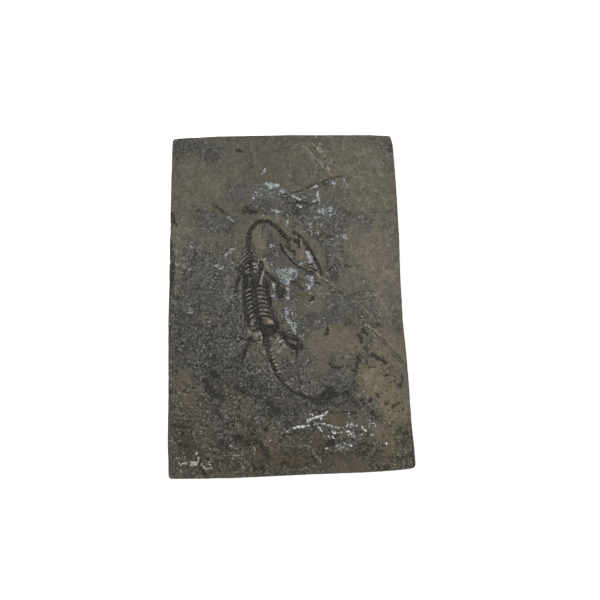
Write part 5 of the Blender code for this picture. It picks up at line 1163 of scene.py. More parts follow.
def make_slab():
    """Build the slab of rock: its face, its broken sides and its sawn back, as one closed mesh."""
    across = graded(SLAB_WIDTH / 2, SKELETON_X, CELLS_ACROSS)
    along = graded(SLAB_LENGTH / 2, SKELETON_Y, CELLS_ALONG)
    rings = side_rings(*rim_line(across, along))
    face = patch(rings[0][:, :2], across, along, CELLS_ACROSS, CELLS_ALONG)
    face = np.column_stack([face, face_height(face)])
    back = sawn_back(rings[-1], across, along)
    places = bowl_out(np.vstack([face, *rings[1:], back]))
    places[:, 2] = np.clip(places[:, 2], 0.0, ROCK_TOP)
    faces, kinds = slab_faces(len(face), len(rings) - 1)
    slab = mesh_object("rock_slab", places, faces)
    put_bake_map(slab.data, np.array(kinds), places)
    side = np.zeros(len(places))
    # The face's rim takes most of the sides' darker colour, as painted shade along the edge.
    side[rim_numbers(CELLS_ACROSS, CELLS_ALONG)] = RIM_SHADE
    side[len(face):] = 1.0
    under = np.zeros(len(places))
    under[-len(back) - len(rings[-1]):] = 1.0
    put_values(slab.data, "side", side)
    put_values(slab.data, "under", under)
    put_face_values(slab.data, places)
    return slab


def rib_gaps():
    """Return strokes for the rock that shows between the ribs, close to the backbone."""
    strokes = []
    for side in (-1, 1):
        for pair, strength in enumerate(RIB_GAPS[side]):
            route = rib_route(side, FIRST_RIB_Y - (pair + 0.5) * BACK_PITCH)
            line = smooth_line(route[:4], GAP_POINTS)[GAP_SPAN]
            strokes.append((GAP_STRENGTH * strength, GAP_HALF, *line.ravel()))
    return strokes


def put_face_values(mesh, places):
    """Store where the face shows calcite, dark marks, bare rock and so on."""
    xy = places[:, :2]
    fine = sway(xy, *FINE_SWAY)
    near = xy + NEAR_REACH * fine
    wide = xy + WIDE_REACH * fine + BROAD_REACH * sway(xy, *BROAD_SWAY)
    flecked = (FLECKED + FLECKED_MORE * painted(wide, MOTTLED, GROUND_SOFT)
               - FLECKED_LESS * painted(wide, SMOOTH, GROUND_SOFT))
    put_values(mesh, "mottled", flecked + FLECKED_SWING * rough(xy, *FLECKED_SWELLS))
    # The tone is partly the rock's own and partly painted light and shade: darker towards the lower left
    # and the bottom, lighter towards the right.
    tone = 1.0 + TONE_MORE * painted(wide, LIGHTER_AND_LIT) - TONE_LESS * painted(wide, DEEPER_AND_SHADED)
    put_values(mesh, "tone", tone)
    shown = [("calcite", near, CALCITE, SOFT), ("dark", near, DARK, VERY_SOFT),
             ("stain", near, STAIN, SOFT), ("cream", near, CREAM, CRISP),
             ("brown", near, BROWN, VERY_CRISP), ("bloom", wide, BLOOM, SOFT),
             ("pale", xy + PALE_REACH * fine, PALE + rib_gaps(), SOFT), ("warm", wide, WARMER, SOFT),
             ("ochre", wide, OCHRE, SOFT), ("smoke", wide, SMOKE, SOFT),
             ("dotted", wide, DOTTED, SOFT), ("veined", wide, VEINED, SOFT)]
    for name, where, strokes, softness in shown:
        put_values(mesh, name, painted(where, strokes, softness))
    put_lines(mesh, "long", xy, LONG_MARKS)
    put_lines(mesh, "thin", xy, THIN_MARKS)
    put_lines(mesh, "cross", xy, CROSS_MARKS)
    scratches = [(np.reshape(points, (-1, 2)), strength) for strength, *points in SCRATCHES]
    put_lines(mesh, "scratch", xy + SCRATCH_REACH * fine, scratches)


def put_lines(mesh, name, places, marks):
    """Store each vertex's signed distance from the nearest line, and how strong that line is."""
    signed, counts = crack_marks(places, marks)
    put_values(mesh, name, signed)
    put_values(mesh, name + "_on", counts)


def directions(line):
    """Return the way a line runs at each of its points."""
    run = np.gradient(line, axis=0)
    return run / np.hypot(*run.T)[:, None]


class Shape:
    """Places and faces of overlapping closed bones, gathered before they are fused."""

    def __init__(self):
        """Start without any bone."""
        self.places = []
        self.faces = []
        self.count = 0
        self.joints = []

    def tube(self, line, wide, high, middle, sides=SIDES):
        """Add a rounded bone along a line, with a half-width and a half-height at each point."""
        wide, high = np.asarray(wide, float), np.asarray(high, float)
        run = directions(line)
        out, shrink = np.array(END_REACH)[:, None], np.array(END_SHRINK)
        head = line[0] - run[0] * wide[0] * out
        foot = line[-1] + run[-1] * wide[-1] * out
        line = np.vstack([head[::-1], line, foot])
        run = np.vstack([run[:1]] * len(out) + [run] + [run[-1:]] * len(out))
        wide = np.concatenate([wide[0] * shrink[::-1], wide, wide[-1] * shrink])
        high = np.concatenate([high[0] * shrink[::-1], high, high[-1] * shrink])
        across = np.column_stack([-run[:, 1], run[:, 0]])
        turn = np.arange(sides) * 2 * math.pi / sides
        flat = line[:, None] + across[:, None] * (wide[:, None, None] * np.cos(turn)[None, :, None])
        level = middle + high[:, None] * np.sin(turn)[None]
        self.places.append(np.dstack([flat, level]).reshape(-1, 3))
        self.skin(len(line), sides)

    def skin(self, rings, sides):
        """Add the faces of a tube whose vertices were just added, ring by ring."""
        for k in range(rings - 1):
            a = self.count + k * sides
            for j in range(sides):
                n = (j + 1) % sides
                self.faces.append((a + j, a + n, a + sides + n, a + sides + j))
        self.faces.append(tuple(self.count + np.arange(sides)[::-1]))
        self.faces.append(tuple(self.count + (rings - 1) * sides + np.arange(sides)))
        self.count += rings * sides

    def bone(self, route, widths, high, middle=BONE_MIDDLE):
        """Add a plain bone along a smooth route."""
        count = max(LEAST_STEPS, round(line_length(route) / BONE_STEP))
        wide = spread_along(widths, np.linspace(0, 1, count)) / 2
        lift = high * (THIN_LIFT + WIDE_LIFT * np.minimum(1, wide / wide.max() * WIDE_FROM))
        self.tube(smooth_line(route, count), wide, lift, middle)

    def chain(self, route, widths, pitch, high, spurs=0.0, waist=0.8, gaps=1.0):
        """Add a row of vertebrae, each with a waist before the next, a spine and side processes."""
        beads = max(2, round(line_length(route) / pitch))
        count = beads * BEAD_STEPS + 1
        shares = np.linspace(0, 1, count)
        beat = np.abs(np.sin(shares * beads * math.pi)) ** 0.5
        half = spread_along(widths, shares) / 2
        line = smooth_line(route, count)
        lift = high * (WAIST_LIFT + BEAD_LIFT * beat)
        self.tube(line, half * (waist + (1 - waist) * beat), lift, BONE_MIDDLE)
        run = directions(line)
        between = range(BEAD_STEPS, count - 1, BEAD_STEPS)
        self.joints += [(line[k], run[k], half[k], gaps) for k in between]
        for k in range(BEAD_STEPS // 2, count, BEAD_STEPS):
            spine = line[[k - 2, k, k + 2]]
            top = BONE_MIDDLE + high * SPINE_PLACE
            self.tube(spine, SPINE_WIDE, SPINE_HIGH, top, FEW_SIDES)
            if spurs:
                reach = np.array([-run[k, 1], run[k, 0]]) * (half[k] + spurs)
                lean = run[k] * SPUR_LEAN * pitch
                ends = np.array([line[k] - reach + lean, line[k], line[k] + reach + lean])
                self.tube(ends, SPUR_WIDE, SPUR_HIGH, BONE_MIDDLE + SPUR_RAISE, FEW_SIDES)

    def fused(self, name, hollow=None):
        """Return one closed, finely roughened body made of everything added."""
        lump = mesh_object(name + "_parts", np.vstack(self.places), self.faces)
        remesh = lump.modifiers.new("fuse", "REMESH")
        remesh.mode = "VOXEL"
        remesh.voxel_size = BONE_VOXEL * MM
        remesh.use_smooth_shade = True
        soften = lump.modifiers.new("soften", "SMOOTH")
        soften.factor = BONE_SOFTEN
        soften.iterations = SOFTEN_ROUNDS
        bpy.context.view_layer.update()
        graph = bpy.context.evaluated_depsgraph_get()
        mesh = bpy.data.meshes.new_from_object(lump.evaluated_get(graph))
        old = lump.data
        bpy.data.objects.remove(lump)
        bpy.data.meshes.remove(old)
        mesh.name = name
        places, hollowed = wear_bone(mesh, hollow)
        put_values(mesh, "joint", joint_marks(places, self.joints))
        put_values(mesh, "hollow", hollowed)
        return placed(name, mesh)


def wear_bone(mesh, hollow=None):
    """Roughen a bone, press its hollow in, and lay out its bake map."""
    places = read_rows(mesh.vertices, "co").astype(float) / MM
    out = read_rows(mesh.vertices, "normal")
    bite = BONE_GRAIN * rough(places, *GRAIN_NOISE) + BONE_WEAR * rough(places, *WEAR_NOISE)
    places += out * bite[:, None]
    hollowed = np.zeros(len(places))
    if hollow:
        x, y, rx, ry = hollow
        apart = ((places[:, 0] - x) / rx) ** 2 + ((places[:, 1] - y) / ry) ** 2
        hollowed = np.where(places[:, 2] > BONE_MIDDLE, np.clip(HOLLOW_RIM - apart, 0, 1), 0.0)
        places[:, 2] -= HOLLOW_DEPTH * hollowed
    places[:, 2] = np.clip(places[:, 2], BONE_LOW, BONE_TOP)
    mesh.vertices.foreach_set("co", (places * MM).astype(np.float32).ravel())
    mesh.update()
    shade_smooth(mesh)
    put_bone_map(mesh, places)
    return places, hollowed


def joint_marks(places, joints):
    """Return 1 in the notches between vertebrae, where rock shows, and 0 elsewhere."""
    marks = np.zeros(len(places))
    for middle, run, half, gaps in joints:
        offset = places[:, :2] - middle
        beyond = np.abs(offset @ run)
        aside = np.abs(offset @ np.array([-run[1], run[0]]))
        there = ramp(-beyond, -NOTCH_END, -NOTCH_FULL)
        there = there * ramp(-aside, -half - NOTCH_PAST, -half - NOTCH_OUT)
        shown = NOTCH_MIDDLE + NOTCH_ASIDE * ramp(aside, NOTCH_CORE * half, half)
        marks = np.maximum(marks, gaps * there * shown)
    return marks


def put_bone_map(mesh, places):
    """Lay a bone's upper faces and its lower faces side by side on one map."""
    sizes = read_numbers(mesh.polygons, "loop_total")
    below = np.repeat(read_rows(mesh.polygons, "normal")[:, 2] < 0, sizes)
    low = places.min(0)
    span = places.max(0) - low
    at = (places[read_numbers(mesh.loops, "vertex_index")] - low) / span
    tall = span[1] > span[0]
    x, y = (at[:, 0], at[:, 1]) if tall else (at[:, 1], at[:, 0])
    u, v = in_box(UPPER_BOX, x, y)
    u[below], v[below] = in_box(LOWER_BOX, x[below], y[below])
    put_map(mesh, u, v)


def x_on_line(points, y):
    """Return x where the line through the points, which runs down, passes y."""
    ys = [p[1] for p in points][::-1]
    return float(np.interp(y, ys, [p[0] for p in points][::-1]))


def rib_route(side, y):
    """Return the route of a rib: out of the backbone at y, and down along the flank."""
    flank = RIGHT_FLANK if side > 0 else LEFT_FLANK
    backbone = x_on_line(BACK_ROUTE, y)
    edge = x_on_line(flank, y - RIB_WAY)
    low_y = max(y - RIB_LENGTH, flank[-1][1] + RIB_CLEAR)
    rise, fall = RIB_RISE[side], RIB_FALL[side]
    return [(backbone + side * RIB_START, y), (backbone + (edge - backbone) * RIB_BEND, y + rise),
            (edge - side * RIB_SHOULDER, y - fall), (edge, y - fall - RIB_TURN),
            (x_on_line(flank, low_y), low_y)]


def make_trunk():
    """Build the backbone with its ribs and flanks."""
    trunk = Shape()
    trunk.chain(BACK_ROUTE, BACK_WIDTHS, BACK_PITCH, high=0.84, spurs=0.3, gaps=0.5)
    for pair in range(RIB_PAIRS):
        y = FIRST_RIB_Y - pair * BACK_PITCH
        for side in (-1, 1):
            trunk.bone(rib_route(side, y), RIB_WIDTHS[side], RIB_HIGH + RIB_STEP * pair)
    for flank, side in ((RIGHT_FLANK, 1), (LEFT_FLANK, -1)):
        trunk.bone([(x - side * FLANK_NUDGE, y) for x, y in flank], FLANK_WIDTHS, high=0.60)
    return trunk


def make_neck():
    """Build the neck: its arch and its base as chains, and its short ribs."""
    neck = Shape()
    neck.chain(NECK_ARCH, NECK_ARCH_WIDTHS, NECK_PITCH, high=0.80, spurs=0.32, waist=0.66, gaps=1.4)
    neck.chain(NECK_BASE, NECK_BASE_WIDTHS, NECK_PITCH, high=0.80, gaps=0.0)
    for route, widths in NECK_RIBS:
        neck.bone(route, widths, high=0.62)
    return neck


def make_skull():
    """Build the skull and the jaw, a little higher than the other bones."""
    skull = Shape()
    for route, widths, high in SKULL_BARS:
        skull.bone(route, widths, high, BONE_MIDDLE + SKULL_RAISE)
    return skull


def make_pelvis():
    """Build the hip bones with the hip vertebrae."""
    pelvis = Shape()
    pelvis.chain(HIP_ROUTE, HIP_WIDTHS, BACK_PITCH, high=0.86, gaps=0.2)
    for route, widths, high in HIP_BONES:
        pelvis.bone(route, widths, high)
    return pelvis


def make_tail():
    """Build the tail's vertebrae and spurs."""
    tail = Shape()
    tail.chain(TAIL_ROUTE, TAIL_WIDTHS, TAIL_PITCH, high=0.74, gaps=0.6)
    for route in TAIL_SPURS:
        tail.bone(route, SPUR_WIDTHS, high=0.56)
    return tail


def make_bones():
    """Build every bone, and return it by the name of the CAD piece that it stands for."""
    made = {}
    chains = {"skull": make_skull(), "neck": make_neck(), "rib_cage": make_trunk(),
              "pelvis": make_pelvis(), "tail": make_tail()}
    for name, shape in chains.items():
        made[name] = shape.fused(name + "_bones", HOLLOWED.get(name))
    for name, bones in SINGLE_BONES.items():
        single = Shape()
        for route, widths in bones:
            single.bone(route, widths, high=0.82)
        made[name] = single.fused(name + "_bone", HOLLOWED.get(name))
    return made


class Graph:
    """Adds nodes to a material and links them, so that a material reads like a sum."""

    def __init__(self, name):
        """Start an empty material, whose place is the object's own in millimetres."""
        self.material = bpy.data.materials.new(name)
        self.material.use_nodes = True
        self.nodes = self.material.node_tree.nodes
        self.links = self.material.node_tree.links
        self.nodes.clear()
        scaled = self.add("ShaderNodeVectorMath", operation="SCALE")
        self.put(scaled.inputs[0], self.add("ShaderNodeTexCoord").outputs["Object"])
        scaled.inputs["Scale"].default_value = 1.0 / MM
        self.place = scaled.outputs[0]

    def add(self, kind, **settings):
        """Add a node with these settings."""
        node = self.nodes.new(kind)
        for name, value in settings.items():
            setattr(node, name, value)
        return node

    def put(self, socket, value):
        """Link a value to a socket, or set it there if it is a plain number or colour."""
        if isinstance(value, bpy.types.NodeSocket):
            self.links.new(value, socket)
        elif isinstance(value, tuple) and len(value) == 3 and socket.type == "RGBA":
            socket.default_value = (*value, 1.0)
        else:
            socket.default_value = value

    def calculate(self, operation, *values):
        """Return the result of one piece of arithmetic."""
        node = self.add("ShaderNodeMath", operation=operation)
        for socket, value in zip(node.inputs, values):
            self.put(socket, value)
        return node.outputs[0]

    def mix(self, share, a, b, blend="MIX"):
        """Return colour a turned into colour b by a share."""
        node = self.add("ShaderNodeMix", data_type="RGBA", blend_type=blend)
        self.put(node.inputs[0], share)
        self.put(node.inputs[6], a)
        self.put(node.inputs[7], b)
        return node.outputs[2]

    def between(self, value, low, high):
        """Return 0 below low, 1 above high, and an easy slope between them."""
        node = self.add("ShaderNodeMapRange", interpolation_type="SMOOTHSTEP")
        self.put(node.inputs["Value"], value)
        node.inputs["From Min"].default_value = low
        node.inputs["From Max"].default_value = high
        return node.outputs["Result"]

    def cover(self, colour, over, value, low, high, *shares):
        """Return the colour, covered by another where the value goes from low to high."""
        return self.mix(self.times(self.between(value, low, high), *shares), colour, over)

    def attribute(self, name):
        """Return a number stored on the mesh."""
        return self.add("ShaderNodeAttribute", attribute_name=name).outputs["Fac"]

    def noise(self, size, detail=3.0, roughness=0.55, distortion=0.0, place=None):
        """Return noise, about 0.5, whose lumps are about size millimetres across."""
        node = self.add("ShaderNodeTexNoise")
        self.put(node.inputs["Vector"], place or self.place)
        node.inputs["Scale"].default_value = 1.0 / size
        node.inputs["Detail"].default_value = detail
        node.inputs["Roughness"].default_value = roughness
        node.inputs["Distortion"].default_value = distortion
        return node.outputs["Fac"]

    def place_by(self, operation, x, y, z):
        """Return the place moved (ADD) or stretched (MULTIPLY) by three numbers."""
        node = self.add("ShaderNodeVectorMath", operation=operation)
        self.put(node.inputs[0], self.place)
        node.inputs[1].default_value = (x, y, z)
        return node.outputs[0]

    def coordinate(self, axis):
        """Return one coordinate of the place."""
        node = self.add("ShaderNodeSeparateXYZ")
        self.put(node.inputs[0], self.place)
        return node.outputs[axis]

    def spread(self, noise, strength):
        """Return noise as a swing of this strength round nought."""
        return self.calculate("MULTIPLY_ADD", noise, strength, -0.5 * strength)

    def frayed(self, value, *swings):
        """Return a value, or what the mesh has under a name, frayed by noises of given strengths."""
        start = self.attribute(value) if isinstance(value, str) else value
        return self.total(start, *(self.spread(noise, strength) for noise, strength in swings))

    def total(self, *values):
        """Return the sum of the values."""
        result = values[0]
        for value in values[1:]:
            result = self.calculate("ADD", result, value)
        return result

    def times(self, *values):
        """Return the product of the values."""
        result = values[0]
        for value in values[1:]:
            result = self.calculate("MULTIPLY", result, value)
        return result

    def most(self, a, b):
        """Return the greater of two values."""
        return self.calculate("MAXIMUM", a, b)

    def crack(self, name, width, wobble, strength):
        """Return how dark a long crack is, from its signed distance on the mesh."""
        off = self.calculate("ABSOLUTE", self.total(self.attribute(name), wobble))
        line = self.calculate("SUBTRACT", 1.0, self.between(off, width * 0.35, width))
        return self.times(line, self.attribute(name + "_on"), strength)

    def finish(self, colour, roughness, height, depth, specular):
        """Join the colour, roughness and relief to a plain shader and return the material."""
        bump = self.add("ShaderNodeBump")
        bump.inputs["Strength"].default_value = BUMP_STRENGTH
        bump.inputs["Distance"].default_value = depth * MM
        self.put(bump.inputs["Height"], height)
        shader = self.add("ShaderNodeBsdfPrincipled")
        self.put(shader.inputs["Base Color"], colour)
        self.put(shader.inputs["Roughness"], roughness)
        shader.inputs["Specular IOR Level"].default_value = specular
        self.put(shader.inputs["Normal"], bump.outputs["Normal"])
        output = self.add("ShaderNodeOutputMaterial")
        self.put(output.inputs["Surface"], shader.outputs[0])
        return self.material


class RockGraph(Graph):
    """The rock's material, with the noises that its looks share, from lumps of 5 mm down to grain."""

    def __init__(self, name):
        """Start the material with the shared noises."""
        super().__init__(name)
        apart = self.place_by("ADD", 71.0, 33.0, 17.0)
        self.middle = self.noise(5.2, 4.0, 0.62)
        self.fine = self.noise(1.6, 3.0, 0.62)
        self.other = self.noise(2.1, 3.0, 0.62, 0.4, apart)
        self.squiggle = self.noise(2.0, 2.5, 0.6, 1.5)
        self.grain = self.noise(0.80, 2.0)
        self.layers = self.noise(1.0, 4.0, 0.65, 0.3, self.place_by("MULTIPLY", 0.06, 0.06, 1.15))


def rock_material():
    """Return the dark bituminous limestone: tan coat, grey flecking, calcite, cracks and sawn back."""
    g = RockGraph("dark_limestone")
    colour, dark = dark_marks(g, plain_rock(g))
    colour, cracks = crack_lines(g, colour)
    colour, calcite = pale_marks(g, colour)
    colour = back_colour(g, side_colour(g, colour))
    roughness = g.total(0.66, g.times(g.middle, 0.16), g.times(calcite, -0.16), g.times(dark, -0.10))
    height = g.total(g.times(g.fine, 0.55), g.times(g.grain, 0.25), g.times(g.squiggle, 0.45),
                     g.times(calcite, 0.45), g.times(dark, -0.65), g.times(cracks, -1.1),
                     g.times(g.layers, g.attribute("side"), 0.8))
    return g.finish(colour, roughness, height, depth=0.42, specular=0.14)


def plain_rock(g):
    """Return the rock's colour: smooth tan ground, and ground flecked grey and black, scaled by a tone
    that holds painted light and shade as well as the rock's own tone.
    """
    patchy = g.noise(10.0, 4.0, 0.62, 0.7)
    share = g.frayed("mottled", (g.middle, 1.7), (g.fine, 1.0), (patchy, 0.7))
    colour = g.cover(tan_ground(g), grey_ground(g, patchy), share, 0.36, 0.64)
    colour = g.cover(colour, BROWN_TINGE, g.noise(28.0, 3.0), 0.40, 0.62, 0.25)
    smoke = g.frayed("smoke", (g.middle, 0.8), (patchy, 0.5))
    colour = g.cover(colour, cloud_colour(g, patchy), smoke, 0.28, 0.66, 0.66)
    flake = g.cover(*FLAKE, g.middle, 0.35, 0.65)
    colour = g.cover(colour, flake, g.frayed("brown", (g.fine, 0.6)), 0.38, 0.50, 0.88)
    speck = g.total(0.755, g.times(g.noise(1.25, 2.0, 0.6), 0.50))
    # The stored tone carries painted light and shade as well as the rock's own tone.
    tone = g.times(g.attribute("tone"), speck, g.total(0.91, g.times(g.fine, 0.18)))
    colour = g.mix(1.0, colour, grey_of(g, tone), "MULTIPLY")
    colour = g.mix(g.attribute("warm"), colour, WARM_TINT, "MULTIPLY")
    colour = g.mix(g.attribute("ochre"), colour, OCHRE_TINT, "MULTIPLY")
    streaks = g.frayed(g.squiggle, (g.fine, 0.9))
    bloom = g.times(g.attribute("bloom"), g.between(streaks, 0.40, 0.62), 0.80)
    return g.mix(bloom, colour, BLOOM_WHITE)


def tan_ground(g):
    """Return the smooth tan coat, with its streaks, swirls and fine pale and dark veins."""
    streaks = g.noise(1.0, 3.0, 0.6, 0.4, g.place_by("MULTIPLY", 0.42, 0.07, 0.42))
    swirl = g.noise(6.5, 4.0, 0.66, 1.6)
    tan = g.cover(*TAN, g.middle, 0.36, 0.64)
    tan = g.cover(tan, TAN_SWIRL_DARK, swirl, 0.50, 0.62, 0.40)
    tan = g.cover(tan, TAN_SWIRL_PALE, swirl, 0.46, 0.34, 0.40)
    tan = g.cover(tan, TAN_STREAK, streaks, 0.44, 0.60, 0.28)
    tan = g.cover(tan, TAN_SPOT_DARK, g.fine, 0.54, 0.66, 0.55)
    tan = g.cover(tan, TAN_SPOT_PALE, g.other, 0.54, 0.66, 0.55)
    tan = g.mix(vein(g, 6.5, g.fine, 0.45), tan, VEIN_DARK)
    return g.mix(g.times(vein(g, 9.0, g.other, 0.70), g.attribute("veined")), tan, VEIN_PALE)


def vein(g, size, breaks, strength):
    """Return where veins run: along the contours of a noise, broken up by another."""
    lines = g.noise(size, 4.0, 0.60, 0.8)
    off = g.calculate("ABSOLUTE", g.calculate("SUBTRACT", lines, 0.5))
    line = g.calculate("SUBTRACT", 1.0, g.between(off, 0.006, 0.026))
    return g.times(line, g.between(breaks, 0.42, 0.60), strength)


def grey_ground(g, patchy):
    """Return the ground flecked black and white, in clusters, with larger black and tan blots."""
    cluster = g.between(g.noise(8.0, 3.0, 0.6, 0.5), 0.40, 0.60)
    blots = g.noise(3.6, 4.0, 0.68, 0.6)
    grey = g.cover(*GREY, patchy, 0.42, 0.58)
    grey = g.cover(grey, GREY_BLOT_TAN, blots, 0.46, 0.38, 0.62)
    grey = g.cover(grey, GREY_SPOT_BLACK, g.squiggle, 0.50, 0.57, 0.86)
    grey = g.cover(grey, GREY_SPOT_PALE, g.other, 0.535, 0.595, 0.72)
    grey = g.cover(grey, GREY_BLOT_BLACK, blots, 0.58, 0.64, g.total(0.45, g.times(cluster, 0.50)))
    return g.cover(grey, GREY_FLECK, g.fine, 0.600, 0.655, g.total(0.30, g.times(cluster, 0.85)))


def cloud_colour(g, patchy):
    """Return the colour of the smooth grey clouds."""
    cloud = g.cover(*CLOUD, g.frayed(patchy, (g.fine, 0.5)), 0.38, 0.62)
    cloud = g.cover(cloud, CLOUD_DARK, g.squiggle, 0.50, 0.60, 0.60)
    return g.cover(cloud, CLOUD_PALE, g.other, 0.54, 0.62, 0.60)


def dark_marks(g, colour):
    """Return the colour with the film round the bones and the black spots, and where it is black."""
    dots = g.total(g.times(g.attribute("dotted"), 0.19), g.noise(1.9, 2.0, 0.5, 0.6))
    stain = g.frayed("stain", (g.fine, 0.85), (g.middle, 0.4))
    colour = g.cover(colour, g.cover(*FILM, g.fine, 0.42, 0.60), stain, 0.36, 0.58, 0.90)
    dark = g.frayed("dark", (g.squiggle, 1.3), (g.other, 1.0), (g.grain, 0.4))
    dark = g.most(g.between(dark, 0.46, 0.58), g.times(g.between(dots, 0.715, 0.740), 0.85))
    return g.mix(g.times(dark, 0.86), colour, DARK_SPOT), dark


def crack_lines(g, colour):
    """Return the colour with the long cracks and their pale lips, and where the cracks are."""
    wobble = g.spread(g.noise(2.6, 3.0, 0.6), 2.0)
    coarse_breaks = g.between(g.other, 0.38, 0.54)
    fine_breaks = g.between(g.fine, 0.38, 0.52)
    cracks = g.most(g.times(g.crack("long", 0.50, wobble, 0.85), coarse_breaks),
                    g.times(g.crack("thin", 0.42, wobble, 0.85), fine_breaks))
    second = g.crack("long", 0.42, g.total(wobble, 1.5), 0.80)
    cracks = g.most(cracks, g.times(second, fine_breaks))
    cracks = g.most(cracks, g.times(g.crack("cross", 0.42, wobble, 0.55), coarse_breaks))
    lip = g.crack("long", 0.62, g.total(wobble, 0.75), 0.66)
    colour = g.mix(g.times(lip, g.between(g.squiggle, 0.42, 0.56)), colour, CRACK_LIP)
    return g.mix(cracks, colour, CRACK_BLACK), cracks


def pale_marks(g, colour):
    """Return the colour with pale rock, scratches, calcite and cream chips, and where it is calcite."""
    ground = g.cover(*BARE_ROCK, g.other, 0.38, 0.62)
    colour = g.cover(colour, ground, g.frayed("pale", (g.fine, 0.9)), 0.36, 0.56, 0.90)
    scratch = g.crack("scratch", 0.50, g.spread(g.noise(3.4, 3.0, 0.6), 2.4), 0.85)
    colour = g.mix(g.times(scratch, g.between(g.fine, 0.34, 0.52)), colour, SCRATCH)
    ragged = g.noise(1.45, 4.0, 0.80, 0.5)
    lumps = g.noise(4.0, 3.0, 0.66, 0.8)
    crusted = g.frayed("calcite", (ragged, 2.0), (lumps, 1.2))
    gaps = g.between(g.squiggle, 0.47, 0.56)
    colour = g.cover(colour, CRUST_GAP, crusted, 0.24, 0.44, gaps, 0.75)
    calcite = g.between(crusted, 0.50, 0.60)
    lower = g.between(g.coordinate(1), *LOWER_CALCITE)
    white = whiteness(g, lumps, lower)
    crust = g.cover(*CRUST, ragged, 0.42, 0.60)
    crust = g.mix(white, crust, g.mix(lower, CALCITE_BLUE, CALCITE_WHITE))
    colour = g.mix(g.times(calcite, 0.92), colour, crust)
    cream = g.frayed("cream", (ragged, 2.0), (g.fine, 0.8))
    return g.cover(colour, g.mix(white, *CHIP), cream, 0.48, 0.58, 0.94), calcite


def whiteness(g, lumps, lower):
    """Return where the calcite is thick and white rather than thin and grey."""
    white = g.frayed(g.noise(1.5, 3.0, 0.7, 0.8), (lumps, 0.7))
    solid = g.most(g.calculate("SUBTRACT", g.attribute("calcite"), 0.98), 0.0)
    white = g.total(white, g.times(solid, 0.34), g.times(lower, 0.05))
    return g.between(white, 0.515, 0.635)


def grey_of(g, tone):
    """Return a grey whose every channel is the tone."""
    node = g.add("ShaderNodeCombineXYZ")
    for socket in node.inputs:
        g.put(socket, tone)
    return node.outputs[0]


def side_colour(g, colour):
    """Return the colour with the broken sides, which show thin layers, and with the face's rim darkened by
    their colour as painted shade.
    """
    side = g.cover(*LAYER, g.layers, 0.34, 0.64)
    side = g.cover(side, SIDE_FLECK, g.fine, 0.56, 0.70, 0.55)
    side = g.cover(side, SIDE_EARTH, g.middle, 0.52, 0.66, 0.45)
    return g.cover(colour, side, g.frayed("side", (g.fine, 0.6)), 0.42, 0.78)


def back_colour(g, colour):
    """Return the colour with the sawn, dusty back, which keeps the arcs of the saw."""
    saw = g.add("ShaderNodeTexWave", wave_type="RINGS", rings_direction="Z")
    g.put(saw.inputs["Vector"], g.place_by("ADD", *SAW_MIDDLE))
    saw.inputs["Scale"].default_value = 0.11
    saw.inputs["Distortion"].default_value = 1.4
    saw.inputs["Detail"].default_value = 2.0
    saw.inputs["Detail Scale"].default_value = 0.3
    back = g.cover(*BACK, g.middle, 0.36, 0.64)
    back = g.mix(g.times(saw.outputs["Fac"], 0.42), back, SAW_MARK)
    back = g.cover(back, BACK_DUST, g.fine, 0.58, 0.70, 0.5)
    back = g.cover(back, BACK_BLOTCH, g.noise(22.0, 4.0, 0.6), 0.50, 0.62, 0.6)
    return g.cover(colour, back, g.attribute("under"), 0.55, 0.95)


def bone_material():
    """Return the black fossil bone: lighter patches that are partly wear and partly painted highlight,
    pale rock left in its low places, fine cracks.
    """
    g = Graph("black_bone")
    fine = g.noise(1.1, 3.0, 0.6)
    grain = g.noise(0.40, 2.0)
    split = g.noise(0.6, 2.0, 0.5, 0.8, g.place_by("MULTIPLY", 2.4, 0.5, 1.0))
    colour = g.cover(*BONE, g.noise(6.0, 3.0), 0.36, 0.64)
    # Lighter patches laid by noise: partly wear, partly a painted highlight.
    colour = g.cover(colour, BONE_WORN_AND_HIGHLIGHT, fine, 0.52, 0.66, 0.50)
    colour = g.cover(colour, BONE_SPLIT, split, 0.58, 0.68, 0.8)
    low = g.frayed(g.coordinate(2), (fine, 0.42), (grain, 0.3))
    earth = g.cover(*EARTH, fine, 0.40, 0.60)
    colour = g.cover(colour, earth, low, *EARTH_HEIGHTS, 0.70)
    joint = g.between(g.frayed("joint", (fine, 0.6)), 0.34, 0.58)
    colour = g.mix(g.times(joint, 0.85), colour, earth)
    colour = g.cover(colour, HOLLOW_GREY, g.frayed("hollow", (fine, 0.8)), 0.35, 0.75, 0.75)
    colour = g.cover(colour, BONE_FLECK, g.frayed(fine, (grain, 0.5)), 0.625, 0.695, 0.85)
    roughness = g.total(0.54, g.times(fine, 0.26), g.times(grain, 0.10))
    height = g.total(g.times(fine, 0.7), g.times(grain, 0.35), g.times(split, -0.3), g.times(joint, -0.6))
    return g.finish(colour, roughness, height, depth=0.18, specular=0.08)


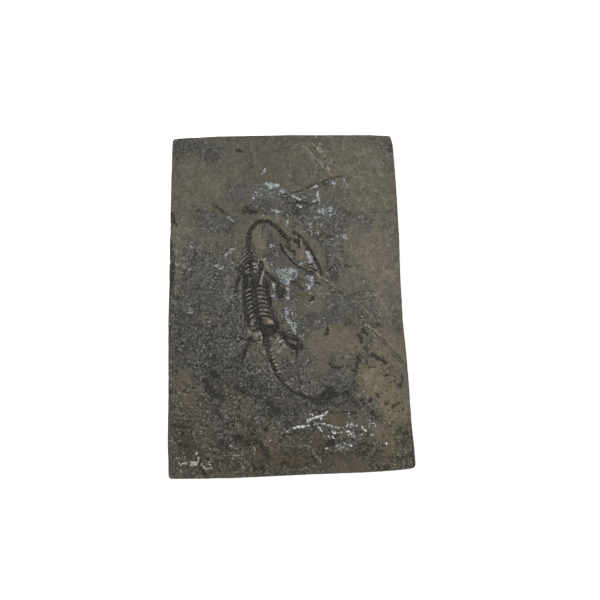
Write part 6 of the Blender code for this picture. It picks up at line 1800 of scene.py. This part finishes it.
def floor_material():
    """Return the plain pale floor."""
    material = bpy.data.materials.new("pale_floor")
    material.use_nodes = True
    shader = material.node_tree.nodes["Principled BSDF"]
    shader.inputs["Base Color"].default_value = (0.86, 0.86, 0.86, 1.0)
    shader.inputs["Roughness"].default_value = 0.9
    shader.inputs["Specular IOR Level"].default_value = 0.1
    shader.inputs["Emission Color"].default_value = (1.0, 1.0, 1.0, 1.0)
    shader.inputs["Emission Strength"].default_value = FLOOR_GLOW
    return material


def make_floor():
    """Lay the floor that the slab rests on."""
    corners = [(x * FLOOR_HALF, y * FLOOR_HALF, -FLOOR_DROP)
               for x, y in ((-1, -1), (1, -1), (1, 1), (-1, 1))]
    floor = mesh_object("floor", np.array(corners), [[0, 1, 2, 3]])
    floor.data.materials.append(floor_material())


def make_light():
    """Light the slab softly: an even sky, and one wide lamp from the upper left."""
    scene = bpy.context.scene
    world = bpy.data.worlds.new("studio")
    world.use_nodes = True
    sky = world.node_tree.nodes["Background"]
    sky.inputs["Color"].default_value = (1.0, 1.0, 1.0, 1.0)
    sky.inputs["Strength"].default_value = SKY
    scene.world = world
    scene.view_settings.view_transform = "Standard"
    scene.view_settings.look = "None"
    lamp = bpy.data.lights.new("wide_lamp", "AREA")
    lamp.shape = "SQUARE"
    lamp.size = LAMP_SIZE
    lamp.energy = LAMP_WATTS
    x, y, z = LAMP_PLACE
    holder = placed("wide_lamp", lamp)
    holder.location = LAMP_PLACE
    holder.rotation_euler = (0.0, math.atan2(math.hypot(x, y), z), math.atan2(y, x))


def make_camera():
    """Look straight down on the slab, as the photograph does."""
    camera = bpy.data.cameras.new("camera")
    camera.sensor_width = SENSOR
    camera.lens = SENSOR * CAMERA_HEIGHT / PICTURE_WIDTH
    camera.clip_start = 0.05
    camera.clip_end = 20.0
    holder = placed("camera", camera)
    holder.location = (CAMERA_PLACE[0] * MM, CAMERA_PLACE[1] * MM, (FACE + CAMERA_HEIGHT) * MM)
    bpy.context.scene.camera = holder


def dress(piece, node, material):
    """Give a piece its material and its place in the part: it stands for a CAD node."""
    piece.data.materials.clear()
    piece.data.materials.append(material)
    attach(piece, "root")
    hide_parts(node)


def main():
    """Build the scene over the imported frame."""
    make_camera()
    make_light()
    make_floor()
    dress(make_slab(), "slab", rock_material())
    bone = bone_material()
    for node, piece in make_bones().items():
        dress(piece, node, bone)
    bpy.context.view_layer.update()


main()
